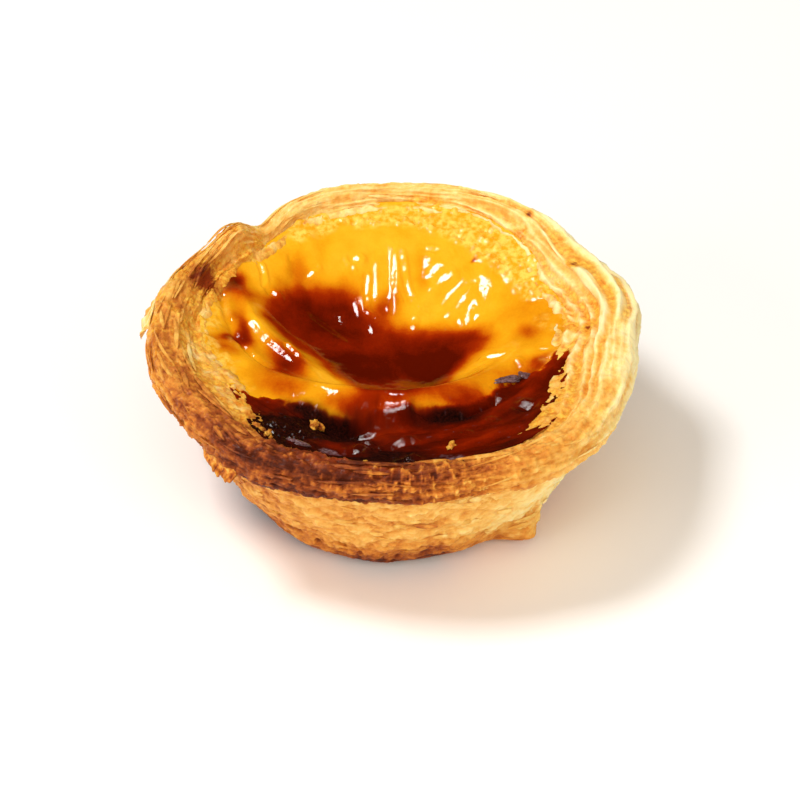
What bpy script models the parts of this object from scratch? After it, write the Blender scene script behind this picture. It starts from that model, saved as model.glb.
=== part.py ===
"""A Portuguese custard tart: a cup of puff pastry, and the baked custard that fills it.

Frame: origin at the middle of the flat underside, +Z up, -Y towards the scorched front edge.
Both pieces are turned shapes that vary with the angle. Each is a stack of rings, and a ring's radius
and height are functions of the angle, so that the rim stays as uneven as hand-pressed dough.
All sizes below are millimetres, and metres() scales the finished points.
"""

import bpy
import numpy as np

# ---------------------------------------------------------------- the pastry case, millimetres
RIM_RADIUS = 36.8  # outer radius of the rim, before its lobes
RIM_TOP = 28.0  # height of the rim's top edge
RIM_WIDTH = 4.6  # thickness of the rim, seen from above
LIP_HEIGHT = 23.0  # underside of the lip that overhangs the wall
LIP_OVERHANG = 2.6  # how far the lip stands out from the wall
LIP_UNDERSIDE = ((0.9, 0.1), (0.1, 1.0))  # (in from the rim's edge, up from the lip's underside)
LIP_WIDEST = 0.45  # the lip is widest this share of the way from its underside to its top
RIM_SHOULDER = ((0.35, 1.3), (1.1, 0.3))  # (in from the rim's edge, down from its top)
RIM_INSIDE = ((0.5, 0.35), (0.0, 1.1))  # (out from the rim's inner edge, down from its top)
BARE_SLOPE = 0.9  # width of bare pastry between the rim and the custard, before its lobes
SLOPE_SHARES = (0.35, 0.7)
SLOPE_SAG = 0.5
WALL_SHARES = (0.08, 0.2, 0.35, 0.52, 0.7, 0.86, 0.97)  # rings up the wall, as shares of its height
WALL_BELLY = 0.9  # how far the wall bulges half-way up
BASE_RADIUS = 22.6  # radius of the underside
BASE_ROUNDING = 1.8  # rounding between the underside and the wall
BASE_CORNER = 0.3  # the share of that rounding at which its one middle ring stands
BASE_SHARES = (0.3, 0.65)  # rings across the underside, as shares of its radius
FLOOR_THICKNESS = 3.4  # pastry under the custard
WALL_THICKNESS = 4.2  # pastry beside the custard
HIDDEN_SHARES = (0.78, 0.5, 0.24)  # rings down the wall beside the custard
CONTACT_STEP = 0.4  # the hidden wall stays at least this far inside the contact line
CONTACT_GAP = 0.3  # clearance between the custard and the pastry

# ---------------------------------------------------------------- the custard's skin, millimetres
CUSTARD_LOW = 19.5  # height of the custard's bowl at the middle
CUSTARD_RISE = 7.5  # how much it climbs by BOWL_RADIUS
BOWL_RADIUS = 34.0
BOWL_POWER = 2.6  # the bowl is flat in the middle and steep at its edge
PIT_CENTRE = (-1.0, 4.0)
PIT_HALF_SIZE = (16.5, 9.0)
PIT_DEPTH = 3.8
FOLD_CENTRE = (0.0, 12.3)  # the folded skin runs round this point
FOLD_RADIUS = 22.5
FOLD_HEIGHT = 3.6
FOLD_BACK = 3.6  # half width of the fold, on the side that drops into the pit
FOLD_FRONT = 2.6  # and on the side towards the rim
FOLD_DIRECTION = 270.0  # degrees
FOLD_SPREAD = 68.0  # degrees to each side of that over which the fold fades out
TRENCH_DEPTH = 0.8
TRENCH_AWAY = 5.2  # the trench runs this far in front of the fold's crest
TRENCH_HALF_WIDTH = 2.0
PLEAT_CENTRE = (-1.0, 5.0)  # the pleats run down towards this point
PLEAT_HEIGHT = 0.8
PLEAT_HALF_WIDTH = 7.0  # degrees
PLEAT_DIRECTIONS = (27.0, 40.0, 61.0, 84.0, 107.0, 124.0, 147.0)
PLEAT_MIDDLE = 16.0  # the pleats are highest this far from their centre
PLEAT_REACH = 7.0
SKIN_EDGE = 0.95  # the skin's first and last rings, as shares of its radius
SKIN_MIDDLE = 0.06

# ---------------------------------------------------------------- uneven dough
# Each lobe is (direction in degrees, half width in degrees, millimetres).
# 0 is right (+X), 90 is the back, 180 is left and 270 is the front.
RADIUS_LOBES = (
    (12, 11, 0.9),
    (34, 8, -0.6),
    (62, 16, 0.9),
    (132, 14, -1.3),
    (212, 16, -0.6),
    (236, 10, 0.7),
    (318, 20, 1.5),
)
TOP_LOBES = (
    (78, 44, 1.6),
    (110, 8, 0.4),
    (127, 5, -1.6),
    (138, 6, 1.9),
    (318, 30, -0.7),
)
WIDTH_LOBES = (
    (0, 40, 1.6),
    (90, 38, -2.0),
    (200, 35, 0.8),
)
LIP_LOBES = ((318, 28, -1.0), (90, 60, 0.6))
SLOPE_LOBES = ((2, 42, 3.8), (200, 30, 4.6))
WALL_LOBES = ((318, 7, 4.6), (262, 14, 0.6), (215, 12, -0.5))  # a flake stands off the wall at 318
FLAKE_TOP = 0.44  # the wall's lobes end this share of the way up it
FLAKE_FADE = 0.38  # and fade over this share below that

SIDES = 96  # facets round each piece
SKIN_RINGS = 18  # rings across the custard's skin
SHARP_EDGE = 50.0  # degrees
MM = 0.001

PASTRY_COLOUR = (0.78, 0.44, 0.13)
PASTRY_ROUGHNESS = 0.6
CUSTARD_COLOUR = (0.93, 0.42, 0.02)
CUSTARD_ROUGHNESS = 0.25


# ---------------------------------------------------------------- shape functions
def lobe(theta, direction, half_width):
    """1 in the given direction, falling to 0 away from it. Theta is in radians, the rest in degrees."""
    away = (np.degrees(theta) - direction + 180.0) % 360.0 - 180.0
    return np.exp(-((away / half_width) ** 2))


def around(theta, level, lobes):
    """A level that varies round the tart: the level plus each lobe's share."""
    return level + sum(size * lobe(theta, at, width) for at, width, size in lobes)


def rim_radius(theta):
    return around(theta, RIM_RADIUS, RADIUS_LOBES)


def rim_top(theta):
    return around(theta, RIM_TOP, TOP_LOBES)


def rim_width(theta):
    return around(theta, RIM_WIDTH, WIDTH_LOBES)


def lip_height(theta):
    return around(theta, LIP_HEIGHT, LIP_LOBES)


def wall_radius(theta, share):
    """The wall's straight taper, at a share of the height from the underside to the lip."""
    wall_top = rim_radius(theta) - LIP_OVERHANG
    return BASE_RADIUS + (wall_top - BASE_RADIUS) * share


def contact_radius(theta):
    """Where the custard's skin meets the pastry."""
    return rim_radius(theta) - rim_width(theta) - around(theta, BARE_SLOPE, SLOPE_LOBES)


def custard_height(x, y):
    """The custard's skin: a bowl, less a pit, plus a fold in front of the pit and pleats behind it."""
    bowl = CUSTARD_LOW + CUSTARD_RISE * (np.hypot(x, y) / BOWL_RADIUS) ** BOWL_POWER

    pit_x = (x - PIT_CENTRE[0]) / PIT_HALF_SIZE[0]
    pit_y = (y - PIT_CENTRE[1]) / PIT_HALF_SIZE[1]
    pit = PIT_DEPTH * np.exp(-(pit_x**2) - pit_y**2)

    # The fold is a ridge along an arc. Its back falls away slowly and its front steeply.
    fold_x, fold_y = x - FOLD_CENTRE[0], y - FOLD_CENTRE[1]
    outside = np.hypot(fold_x, fold_y) - FOLD_RADIUS
    share = lobe(np.arctan2(fold_y, fold_x), FOLD_DIRECTION, FOLD_SPREAD)
    ridge = np.exp(-((outside / np.where(outside > 0, FOLD_FRONT, FOLD_BACK)) ** 2))
    trench = np.exp(-(((outside - TRENCH_AWAY) / TRENCH_HALF_WIDTH) ** 2))
    fold = share * (FOLD_HEIGHT * ridge - TRENCH_DEPTH * trench)

    pleat_x, pleat_y = x - PLEAT_CENTRE[0], y - PLEAT_CENTRE[1]
    direction = np.arctan2(pleat_y, pleat_x)
    reach = np.exp(-(((np.hypot(pleat_x, pleat_y) - PLEAT_MIDDLE) / PLEAT_REACH) ** 2))
    pleats = sum(lobe(direction, at, PLEAT_HALF_WIDTH) for at in PLEAT_DIRECTIONS)
    return bowl - pit + fold + PLEAT_HEIGHT * pleats * reach


# ---------------------------------------------------------------- rings
def wall_rings(theta):
    """The tapered wall. Its lobes fade out upwards, so that the flake stands off its lower half."""
    rings = []
    for share in WALL_SHARES:
        flake = around(theta, 0.0, WALL_LOBES) * np.clip((FLAKE_TOP - share) / FLAKE_FADE, 0.0, 1.0)
        belly = WALL_BELLY * np.sin(np.pi * share)
        rings.append((wall_radius(theta, share) + belly + flake, lip_height(theta) * share))
    return rings


def outer_rings(theta):
    """(radius, height) of the case's rings, from the underside out and up to the rim's inner edge."""
    edge, top, lip = rim_radius(theta), rim_top(theta), lip_height(theta)
    inner_edge = edge - rim_width(theta)
    flat = np.zeros_like(theta)
    corner = BASE_CORNER * BASE_ROUNDING

    rings = [(BASE_RADIUS * share + flat, flat) for share in BASE_SHARES]
    rings += [(BASE_RADIUS - BASE_ROUNDING + flat, flat), (BASE_RADIUS - corner + flat, corner + flat)]
    rings += wall_rings(theta)
    rings += [(edge - inwards, lip + up) for inwards, up in LIP_UNDERSIDE]
    rings.append((edge, lip + LIP_WIDEST * (top - lip)))
    rings += [(edge - inwards, top - down) for inwards, down in RIM_SHOULDER]
    rings.append((0.5 * (edge + inner_edge), top))
    rings += [(inner_edge + outwards, top - down) for outwards, down in RIM_INSIDE]
    return rings


def inner_rings(theta):
    """(radius, height) of the cup that holds the custard, from the contact line down to the floor."""
    contact = contact_radius(theta)
    rings = [(contact, custard_height(contact * np.cos(theta), contact * np.sin(theta)))]
    for share in HIDDEN_SHARES:
        hidden = np.minimum(wall_radius(theta, share) - WALL_THICKNESS, contact - CONTACT_STEP)
        rings.append((hidden, lip_height(theta) * share))
    flat = np.zeros_like(theta)
    rings.append((BASE_RADIUS - WALL_THICKNESS + flat, FLOOR_THICKNESS + flat))
    return rings


def case_rings(theta):
    """The whole section of the pastry case, from the middle underneath to the middle inside."""
    outer, inner = outer_rings(theta), inner_rings(theta)
    (edge_radius, edge_height), (contact, height) = outer[-1], inner[0]
    slope = []
    for share in SLOPE_SHARES:
        sag = SLOPE_SAG * np.sin(np.pi * share)
        radius = edge_radius + (contact - edge_radius) * share
        slope.append((radius, edge_height + (height - edge_height) * share - sag))
    floor_radius, floor_height = inner[-1]
    return outer + slope + inner + [(0.5 * floor_radius, floor_height)]


def custard_rings(theta):
    """The custard's section, from the middle underneath, up its side and in over its skin."""
    side = [(radius - CONTACT_GAP, height) for radius, height in reversed(inner_rings(theta))]
    floor_radius, floor_height = side[0]
    side[0] = (floor_radius, floor_height + CONTACT_GAP)
    rings = [(0.5 * floor_radius, floor_height + CONTACT_GAP)] + side
    contact = side[-1][0]
    for share in np.linspace(SKIN_EDGE, SKIN_MIDDLE, SKIN_RINGS):
        radius = contact * share
        rings.append((radius, custard_height(radius * np.cos(theta), radius * np.sin(theta))))
    return rings


# ---------------------------------------------------------------- meshes
def metres(rings, theta, first_pole, last_pole):
    """All points of a turned piece: the first pole, then every ring in order, then the last pole."""
    points = [np.array([[0.0, 0.0, first_pole]])]
    for radius, height in rings:
        points.append(np.stack([radius * np.cos(theta), radius * np.sin(theta), height], axis=1))
    points.append(np.array([[0.0, 0.0, last_pole]]))
    return np.concatenate(points) * MM


def turned_faces(ring_count):
    """Quads between neighbouring rings and a fan of triangles at each pole, all facing out."""
    this = np.arange(SIDES)
    following = (this + 1) % SIDES
    last_pole = 1 + ring_count * SIDES
    faces = [(0, 1 + b, 1 + a) for a, b in zip(this, following)]
    for ring in range(ring_count - 1):
        low, high = 1 + ring * SIDES, 1 + (ring + 1) * SIDES
        faces += [(low + a, low + b, high + b, high + a) for a, b in zip(this, following)]
    top = 1 + (ring_count - 1) * SIDES
    faces += [(top + a, top + b, last_pole) for a, b in zip(this, following)]
    return [tuple(int(i) for i in face) for face in faces]


def turned_object(name, rings, theta, first_pole, last_pole, material):
    mesh = bpy.data.meshes.new(name)
    points = metres(rings, theta, first_pole, last_pole)
    mesh.from_pydata(points.tolist(), [], turned_faces(len(rings)))
    mesh.materials.append(material)
    mesh.shade_smooth()
    mesh.set_sharp_from_angle(angle=np.radians(SHARP_EDGE))
    mesh.update()
    piece = bpy.data.objects.new(name, mesh)
    bpy.context.scene.collection.objects.link(piece)
    return piece


def baked_material(name, colour, roughness):
    material = bpy.data.materials.new(name)
    material.use_nodes = True
    shader = material.node_tree.nodes["Principled BSDF"]
    shader.inputs["Base Color"].default_value = (*colour, 1.0)
    shader.inputs["Roughness"].default_value = roughness
    shader.inputs["Metallic"].default_value = 0.0
    return material


def pastry_case(theta):
    """The flaky cup: a tapered wall, an overhanging lip, a thick uneven rim and a hollow inside."""
    golden = baked_material("golden_pastry", PASTRY_COLOUR, PASTRY_ROUGHNESS)
    return turned_object("pastry_case", case_rings(theta), theta, 0.0, FLOOR_THICKNESS, golden)


def custard_filling(theta):
    """The custard: it fills the cup, and its skin has sunk, folded and scorched."""
    glossy = baked_material("glossy_custard", CUSTARD_COLOUR, CUSTARD_ROUGHNESS)
    floor = FLOOR_THICKNESS + CONTACT_GAP
    middle = float(custard_height(0.0, 0.0))
    return turned_object("custard_filling", custard_rings(theta), theta, floor, middle, glossy)


def main():
    for existing in list(bpy.data.objects):
        bpy.data.objects.remove(existing, do_unlink=True)
    theta = np.arange(SIDES) * 2.0 * np.pi / SIDES
    tart = bpy.data.objects.new("custard_tart", None)
    bpy.context.scene.collection.objects.link(tart)
    for piece in (pastry_case(theta), custard_filling(theta)):
        piece.parent = tart


main()
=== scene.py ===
# %% [markdown]
# # A Portuguese custard tart
#
# The tart stands on its flat base: a cup of puff pastry about 74 mm across, filled with egg custard.
# In a very hot oven the custard swells and its skin scorches. Out of the oven it sinks again, so the
# skin is left too large for its bowl, and it falls into pleats, a fold and a deep pit.
#
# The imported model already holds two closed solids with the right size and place. This script keeps
# their box and their section, and gives them what an eye would see: torn leaves of pastry, a toasted
# rim, and a wet, wrinkled skin. Shapes are worked out in millimetres, because those are the sizes a
# baker would give, and each mesh is turned into metres when it is made.

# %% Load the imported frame
import itertools

import bpy
import numpy as np
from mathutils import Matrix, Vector


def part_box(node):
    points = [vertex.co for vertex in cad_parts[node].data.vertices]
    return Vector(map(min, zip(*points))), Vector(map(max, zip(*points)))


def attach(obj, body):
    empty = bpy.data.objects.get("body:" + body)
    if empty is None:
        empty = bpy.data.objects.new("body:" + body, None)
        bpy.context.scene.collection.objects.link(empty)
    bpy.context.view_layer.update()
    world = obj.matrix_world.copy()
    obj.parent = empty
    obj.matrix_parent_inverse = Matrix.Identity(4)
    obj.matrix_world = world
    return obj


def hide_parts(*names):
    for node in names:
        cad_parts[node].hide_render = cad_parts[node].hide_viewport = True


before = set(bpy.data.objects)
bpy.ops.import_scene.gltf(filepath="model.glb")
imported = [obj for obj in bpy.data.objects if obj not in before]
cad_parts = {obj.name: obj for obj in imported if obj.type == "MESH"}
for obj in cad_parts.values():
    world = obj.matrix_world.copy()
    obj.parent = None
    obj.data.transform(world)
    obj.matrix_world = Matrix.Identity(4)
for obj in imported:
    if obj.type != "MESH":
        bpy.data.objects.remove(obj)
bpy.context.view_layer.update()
MM = 0.001
case_box = [np.array(corner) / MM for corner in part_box("pastry_case")]
print("pieces in the frame:", sorted(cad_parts))
print("the case spans, in mm:", np.round(case_box[1] - case_box[0], 2))

# %% [markdown]
# ## Helpers: lobes, noise and cells
#
# Dough and custard are uneven in three ways, and each has its own helper. A **lobe** is one swelling
# in a chosen direction, such as the raised ear at the back left. **Noise** is unevenness that has a
# size but no plan, such as crumb. **Cells** break a surface into patches, such as torn leaves or
# bubbles. Blender has textures like the last two, but they only reach a material. Here they also
# move vertices, so they are worked out with numpy, for all the vertices at once.


# %% Lobes and ramps
def bell(value, middle, half_width):
    """1 in the middle, falling off to both sides as a bell curve."""
    return np.exp(-(((value - middle) / half_width) ** 2))


def lobe(theta, direction, half_width):
    """1 in one direction, falling off as a bell curve. Theta in radians, the others in degrees."""
    away = (np.degrees(theta) - direction + 180.0) % 360.0 - 180.0
    return bell(away, 0.0, half_width)


def around(theta, level, lobes):
    """A level that varies round the tart: the level plus each lobe of (direction, width, amount)."""
    return level + sum(amount * lobe(theta, at, width) for at, width, amount in lobes)


def ramp(value, low, high):
    """0 below low and 1 above high, with a smooth S between them."""
    share = np.clip((value - low) / (high - low), 0.0, 1.0)
    return share * share * (3.0 - 2.0 * share)


def spot(x, y, at, size, turn=0.0):
    """1 at a point, falling off as a bell curve over an ellipse's half sizes, turned by some degrees."""
    c, s = np.cos(np.radians(turn)), np.sin(np.radians(turn))
    along = ((x - at[0]) * c + (y - at[1]) * s) / size[0]
    across = ((y - at[1]) * c - (x - at[0]) * s) / size[1]
    return np.exp(-(along**2) - across**2)


def spots(x, y, table):
    """Spots added up, each with its amount. The table holds (centre, half sizes, turn, amount)."""
    return sum(amount * spot(x, y, at, size, turn) for at, size, turn, amount in table)


def flat_place(x, y):
    """Points on the plane of the table, so that noise and cells can be read at x and y."""
    return np.stack([x, y, np.zeros_like(x)], axis=-1)


# %% Noise
dice = np.random.default_rng(7)
SHUFFLE = dice.permutation(256)
SLOPES = dice.normal(size=(256, 3))
SLOPES /= np.linalg.norm(SLOPES, axis=1, keepdims=True)


def lattice_id(cell):
    """A number from 0 to 255 that belongs to each lattice corner."""
    x, y, z = (cell & 255)[..., 0], (cell & 255)[..., 1], (cell & 255)[..., 2]
    return SHUFFLE[(SHUFFLE[(SHUFFLE[x] + y) & 255] + z) & 255]


def noise(points, size=1.0, seed=0):
    """Gradient noise, about -1 to 1: each lattice corner has a slope, and they blend smoothly."""
    place = points / size + 31.7 * seed + 0.37
    cell = np.floor(place).astype(np.int64)
    inside = place - cell
    fade = inside**3 * (inside * (inside * 6.0 - 15.0) + 10.0)
    total = np.zeros(place.shape[:-1])
    for corner in itertools.product((0, 1), repeat=3):
        corner = np.array(corner)
        weight = np.where(corner == 1, fade, 1.0 - fade).prod(axis=-1)
        total += weight * (SLOPES[lattice_id(cell + corner)] * (inside - corner)).sum(axis=-1)
    return 1.6 * total


def crumble(points, size=1.0, layers=4, seed=0, keep=0.5):
    """Noise of halving sizes added up, each layer weaker than the last, as rough things are."""
    return sum(keep**n * noise(points, size / 2.0**n, seed + n) for n in range(layers))


# %% Cells
SEEDS = dice.random(size=(256, 3))
LOTS = dice.random(size=256)


def cells(points, size=1.0, seed=0):
    """(nearest, gap, lot): distance to the nearest scattered seed, how much farther the second is,
    and a random number that all points nearest to the same seed share."""
    place = points / size + 17.3 * seed + 0.11
    cell = np.floor(place).astype(np.int64)
    nearest = np.full(place.shape[:-1], 9.0)
    second = nearest.copy()
    lot = np.zeros_like(nearest)
    for step in itertools.product((-1, 0, 1), repeat=3):
        neighbour = cell + np.array(step)
        who = lattice_id(neighbour)
        distance = np.linalg.norm(neighbour + SEEDS[who] - place, axis=-1)
        closer = distance < nearest
        second = np.where(closer, nearest, np.minimum(second, distance))
        lot = np.where(closer, LOTS[who], lot)
        nearest = np.where(closer, distance, nearest)
    return nearest, second - nearest, lot


# %% Paths and outlines
def path_nearest(x, y, path):
    """(near_x, near_y, share): the nearest spot of a path to each point, and how far along it is."""
    path = np.array(path, float)
    lengths = np.linalg.norm(np.diff(path, axis=0), axis=1)
    best, walked = np.full(np.shape(x), 1e9), 0.0
    near_x, near_y, share = np.zeros(np.shape(x)), np.zeros(np.shape(x)), np.zeros(np.shape(x))
    for (ax, ay), (bx, by), length in zip(path[:-1], path[1:], lengths):
        t = np.clip(((x - ax) * (bx - ax) + (y - ay) * (by - ay)) / length**2, 0.0, 1.0)
        spot_x, spot_y = ax + t * (bx - ax), ay + t * (by - ay)
        distance = np.hypot(x - spot_x, y - spot_y)
        nearer = distance < best
        near_x, near_y = np.where(nearer, spot_x, near_x), np.where(nearer, spot_y, near_y)
        share = np.where(nearer, (walked + t * length) / lengths.sum(), share)
        best = np.minimum(best, distance)
        walked += length
    return near_x, near_y, share


def path_distance(x, y, path):
    """(distance, share): how far each point is from a path, and how far along the nearest spot is."""
    near_x, near_y, share = path_nearest(x, y, path)
    return np.hypot(x - near_x, y - near_y), share


def outline_depth(x, y, outline):
    """How far inside a closed outline each point lies, and minus how far outside."""
    ring = list(outline) + [outline[0]]
    inside = np.zeros(np.shape(x), bool)
    for (ax, ay), (bx, by) in zip(ring[:-1], ring[1:]):
        if ay != by:
            crosses = (ay > y) != (by > y)
            inside ^= crosses & (x < (bx - ax) * (y - ay) / (by - ay) + ax)
    distance, _ = path_distance(x, y, ring)
    return np.where(inside, distance, -distance)


trial = noise(dice.random((20000, 3)) * 50.0)
print("noise runs from", trial.min().round(2), "to", trial.max().round(2))

# %% [markdown]
# ## Helpers: from a grid to a mesh
#
# Both big pieces are grids: one direction goes round the tart, and the other follows its section.
# Spinning a profile would give the same grid, but with every section alike. Here each row is a
# whole array over the angle, so the section can change all the way round.


# %% Grid to mesh
def grid_faces(rows, columns, closed_rows):
    """Four-cornered faces between neighbouring rows and columns. Columns always join up again."""
    row, column = np.meshgrid(np.arange(rows - (not closed_rows)), np.arange(columns), indexing="ij")
    right, up = (column + 1) % columns, (row + 1) % rows
    corners = [(row, column), (row, right), (up, right), (up, column)]
    return np.stack([r * columns + c for r, c in corners], axis=-1).reshape(-1, 4)


def pole_faces(ring, pole, ring_first):
    """Triangles from a ring of vertices to a single pole vertex."""
    after = np.roll(ring, -1)
    a, b = (ring, after) if ring_first else (after, ring)
    return np.stack([a, b, np.full_like(ring, pole)], axis=-1)


def mesh_object(name, points, quads, triangles=None, marks=None):
    """A mesh from points in mm, with a float or vector attribute for each entry in marks."""
    mesh = bpy.data.meshes.new(name)
    triangles = np.zeros((0, 3), int) if triangles is None else triangles
    corners = np.concatenate([quads.reshape(-1), triangles.reshape(-1)])
    sizes = np.concatenate([np.full(len(quads), 4), np.full(len(triangles), 3)])
    mesh.vertices.add(len(points))
    mesh.vertices.foreach_set("co", (points * MM).astype(np.float32).ravel())
    mesh.loops.add(len(corners))
    mesh.loops.foreach_set("vertex_index", corners.astype(np.int32))
    mesh.polygons.add(len(sizes))
    mesh.polygons.foreach_set("loop_start", (np.cumsum(sizes) - sizes).astype(np.int32))
    mesh.polygons.foreach_set("use_smooth", np.full(len(sizes), True))
    mesh.update(calc_edges=True)
    for mark, values in (marks or {}).items():
        kind, field = ("FLOAT_VECTOR", "vector") if values.ndim == 2 else ("FLOAT", "value")
        attribute = mesh.attributes.new(mark, kind, "POINT")
        attribute.data.foreach_set(field, values.astype(np.float32).ravel())
    mesh.validate()
    piece = bpy.data.objects.new(name, mesh)
    bpy.context.scene.collection.objects.link(piece)
    print(f"{name}: {len(points)} points, {2 * len(quads) + len(triangles)} triangles")
    return piece


def grid_normals(points, closed_rows):
    """The outward direction at each grid point: round the tart crossed with along the section."""
    across = np.roll(points, -1, axis=1) - np.roll(points, 1, axis=1)
    if closed_rows:
        along = np.roll(points, -1, axis=0) - np.roll(points, 1, axis=0)
    else:
        along = np.gradient(points, axis=0)
    out = np.cross(across, along)
    return out / np.maximum(np.linalg.norm(out, axis=-1, keepdims=True), 1e-12)


# %% [markdown]
# ## The tart's own section
#
# The solids in the frame were made from a handful of sizes and lobes, and the fine pieces follow
# the same ones, so that they fill the same space. First come the rim, the lip and the wall of the
# pastry, then the height of the custard at any point of its skin.

# %% Sizes of the pastry, millimetres
RIM_RADIUS, RIM_TOP, RIM_WIDTH = 36.8, 28.0, 4.6
LIP_HEIGHT, LIP_OVERHANG = 23.0, 2.6
BASE_RADIUS, BASE_ROUNDING, WALL_BELLY = 22.6, 1.8, 0.9
FLOOR_THICKNESS, WALL_THICKNESS = 3.4, 4.2
BARE_SLOPE, SLOPE_SAG = 0.9, 0.5
RADIUS_LOBES = [(12, 11, 0.9), (34, 8, -0.6), (62, 16, 0.9), (132, 14, -1.3), (212, 16, -0.6)]
RADIUS_LOBES += [(236, 10, 0.7), (318, 20, 1.5)]
TOP_LOBES = [(78, 44, 1.6), (110, 8, 0.4), (127, 5, -1.6), (138, 6, 1.9), (318, 30, -0.7)]
WIDTH_LOBES = [(0, 40, 1.6), (90, 38, -2.0), (200, 35, 0.8)]
LIP_LOBES = [(318, 28, -1.0), (90, 60, 0.6)]
SLOPE_LOBES = [(2, 42, 3.8), (200, 30, 4.6)]
WALL_LOBES = [(318, 7, 4.6), (262, 14, 0.6), (215, 12, -0.5)]


def rim_radius(theta):
    return around(theta, RIM_RADIUS, RADIUS_LOBES)


def rim_top(theta):
    return around(theta, RIM_TOP, TOP_LOBES)


def rim_width(theta):
    return around(theta, RIM_WIDTH, WIDTH_LOBES)


def lip_height(theta):
    return around(theta, LIP_HEIGHT, LIP_LOBES)


def wall_radius(theta, share):
    """The wall's straight taper, at a share of the height from the underside to the lip."""
    wall_top = rim_radius(theta) - LIP_OVERHANG
    return BASE_RADIUS + (wall_top - BASE_RADIUS) * share


def contact_radius(theta):
    """Where the custard's skin meets the pastry."""
    return rim_radius(theta) - rim_width(theta) - around(theta, BARE_SLOPE, SLOPE_LOBES)


# %% Height of the custard, millimetres
# The bowl is flat in the middle and steepens outwards, and a shoulder swells up behind the pit.
BOWL_FLOOR, BOWL_RISE, BOWL_REACH, BOWL_POWER = 19.5, 7.5, 34.0, 2.6
SHOULDER_HEIGHT, SHOULDER_AT, SHOULDER_HALF_WIDTH = 1.8, 26.0, 6.0
SHOULDER_SIDE = (80.0, 60.0)  # its direction and its spread, in degrees
# The pit is made of two shallow basins: (centre, half sizes, turn in degrees).
BASINS = [((-10.0, 11.6), (9.4, 8.2), -24.0), ((2.6, 3.0), (14.0, 9.6), 0.0)]
PIT_DEPTH, PIT_MIDDLE = 2.7, (0.0, 9.0)
# A fold's crest, from left to right: (x, y, height, outer, inner) in mm. The last two are the half
# widths of its flank away from the pit and of its flank towards the pit.
LEFT_FOLD = [
    (-24.2, 15.0, 0.2, 1.2, 2.2), (-22.9, 12.6, 0.9, 1.3, 2.6), (-20.7, 7.9, 1.5, 1.4, 3.0),
    (-18.5, 4.8, 1.7, 1.5, 3.0), (-15.2, 2.0, 1.6, 1.6, 3.0), (-12.0, -1.4, 0.9, 1.7, 3.0),
    (-9.5, -4.5, 0.2, 1.7, 3.0),
]
FRONT_FOLD = [
    (-26.0, 3.6, 0.2, 2.4, 2.4), (-23.4, 0.0, 0.6, 2.8, 2.6), (-20.0, -3.4, 1.0, 3.2, 2.8),
    (-16.4, -6.2, 1.6, 3.2, 3.0), (-12.4, -8.4, 2.5, 2.8, 3.2), (-8.0, -10.0, 3.1, 2.4, 3.4),
    (-3.0, -11.2, 3.4, 2.4, 3.4), (2.0, -11.2, 3.4, 2.4, 3.4), (7.0, -9.6, 3.2, 2.4, 3.6),
    (11.4, -6.6, 2.7, 2.6, 3.8), (15.4, -2.6, 2.0, 3.0, 4.0), (19.0, 1.0, 1.1, 3.4, 4.0),
    (22.0, 4.0, 0.3, 3.4, 4.0),
]
TRENCH_SHARE = 0.25  # the trench outside the front fold is this share of the fold's height deep
TRENCH_AWAY, TRENCH_HALF_WIDTH = 5.0, 2.0
# Pleats run down towards one point in the pit: (direction in degrees, height).
PLEATS = [(27.0, 0.15), (40.0, 0.45), (61.0, 0.7), (84.0, 0.7), (107.0, 0.7), (124.0, 0.7), (147.0, 0.8)]
PLEAT_CENTRE, PLEAT_HALF_WIDTH = (-1.0, 5.0), 7.0
PLEAT_MIDDLE, PLEAT_REACH = 15.0, 6.5  # highest this far from that point, and fading over this much


def fold_place(x, y, fold):
    """(outside, height, outer, inner): signed distance from a fold's crest, more than 0 away from
    the pit, and the fold's three sizes at the nearest spot of the crest."""
    nodes = np.array(fold)
    distance, share = path_distance(x, y, nodes[:, :2])
    steps = np.linalg.norm(np.diff(nodes[:, :2], axis=0), axis=1)
    walked = np.concatenate([[0.0], np.cumsum(steps)]) / steps.sum()
    near = [np.interp(share, walked, nodes[:, k]) for k in range(5)]
    from_pit = np.hypot(x - PIT_MIDDLE[0], y - PIT_MIDDLE[1])
    inside = from_pit < np.hypot(near[0] - PIT_MIDDLE[0], near[1] - PIT_MIDDLE[1])
    return np.where(inside, -distance, distance), near[2], near[3], near[4]


def basin(x, y, centre, half_sizes, turn):
    """0 in the middle of a basin and 1 well outside it: 1 less the exponential of minus the cube of
    the distance, counted in half sizes."""
    c, s = np.cos(np.radians(turn)), np.sin(np.radians(turn))
    right, back = x - centre[0], y - centre[1]
    along, across = right * c + back * s, back * c - right * s
    return 1.0 - np.exp(-(np.hypot(along / half_sizes[0], across / half_sizes[1]) ** 3))


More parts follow.
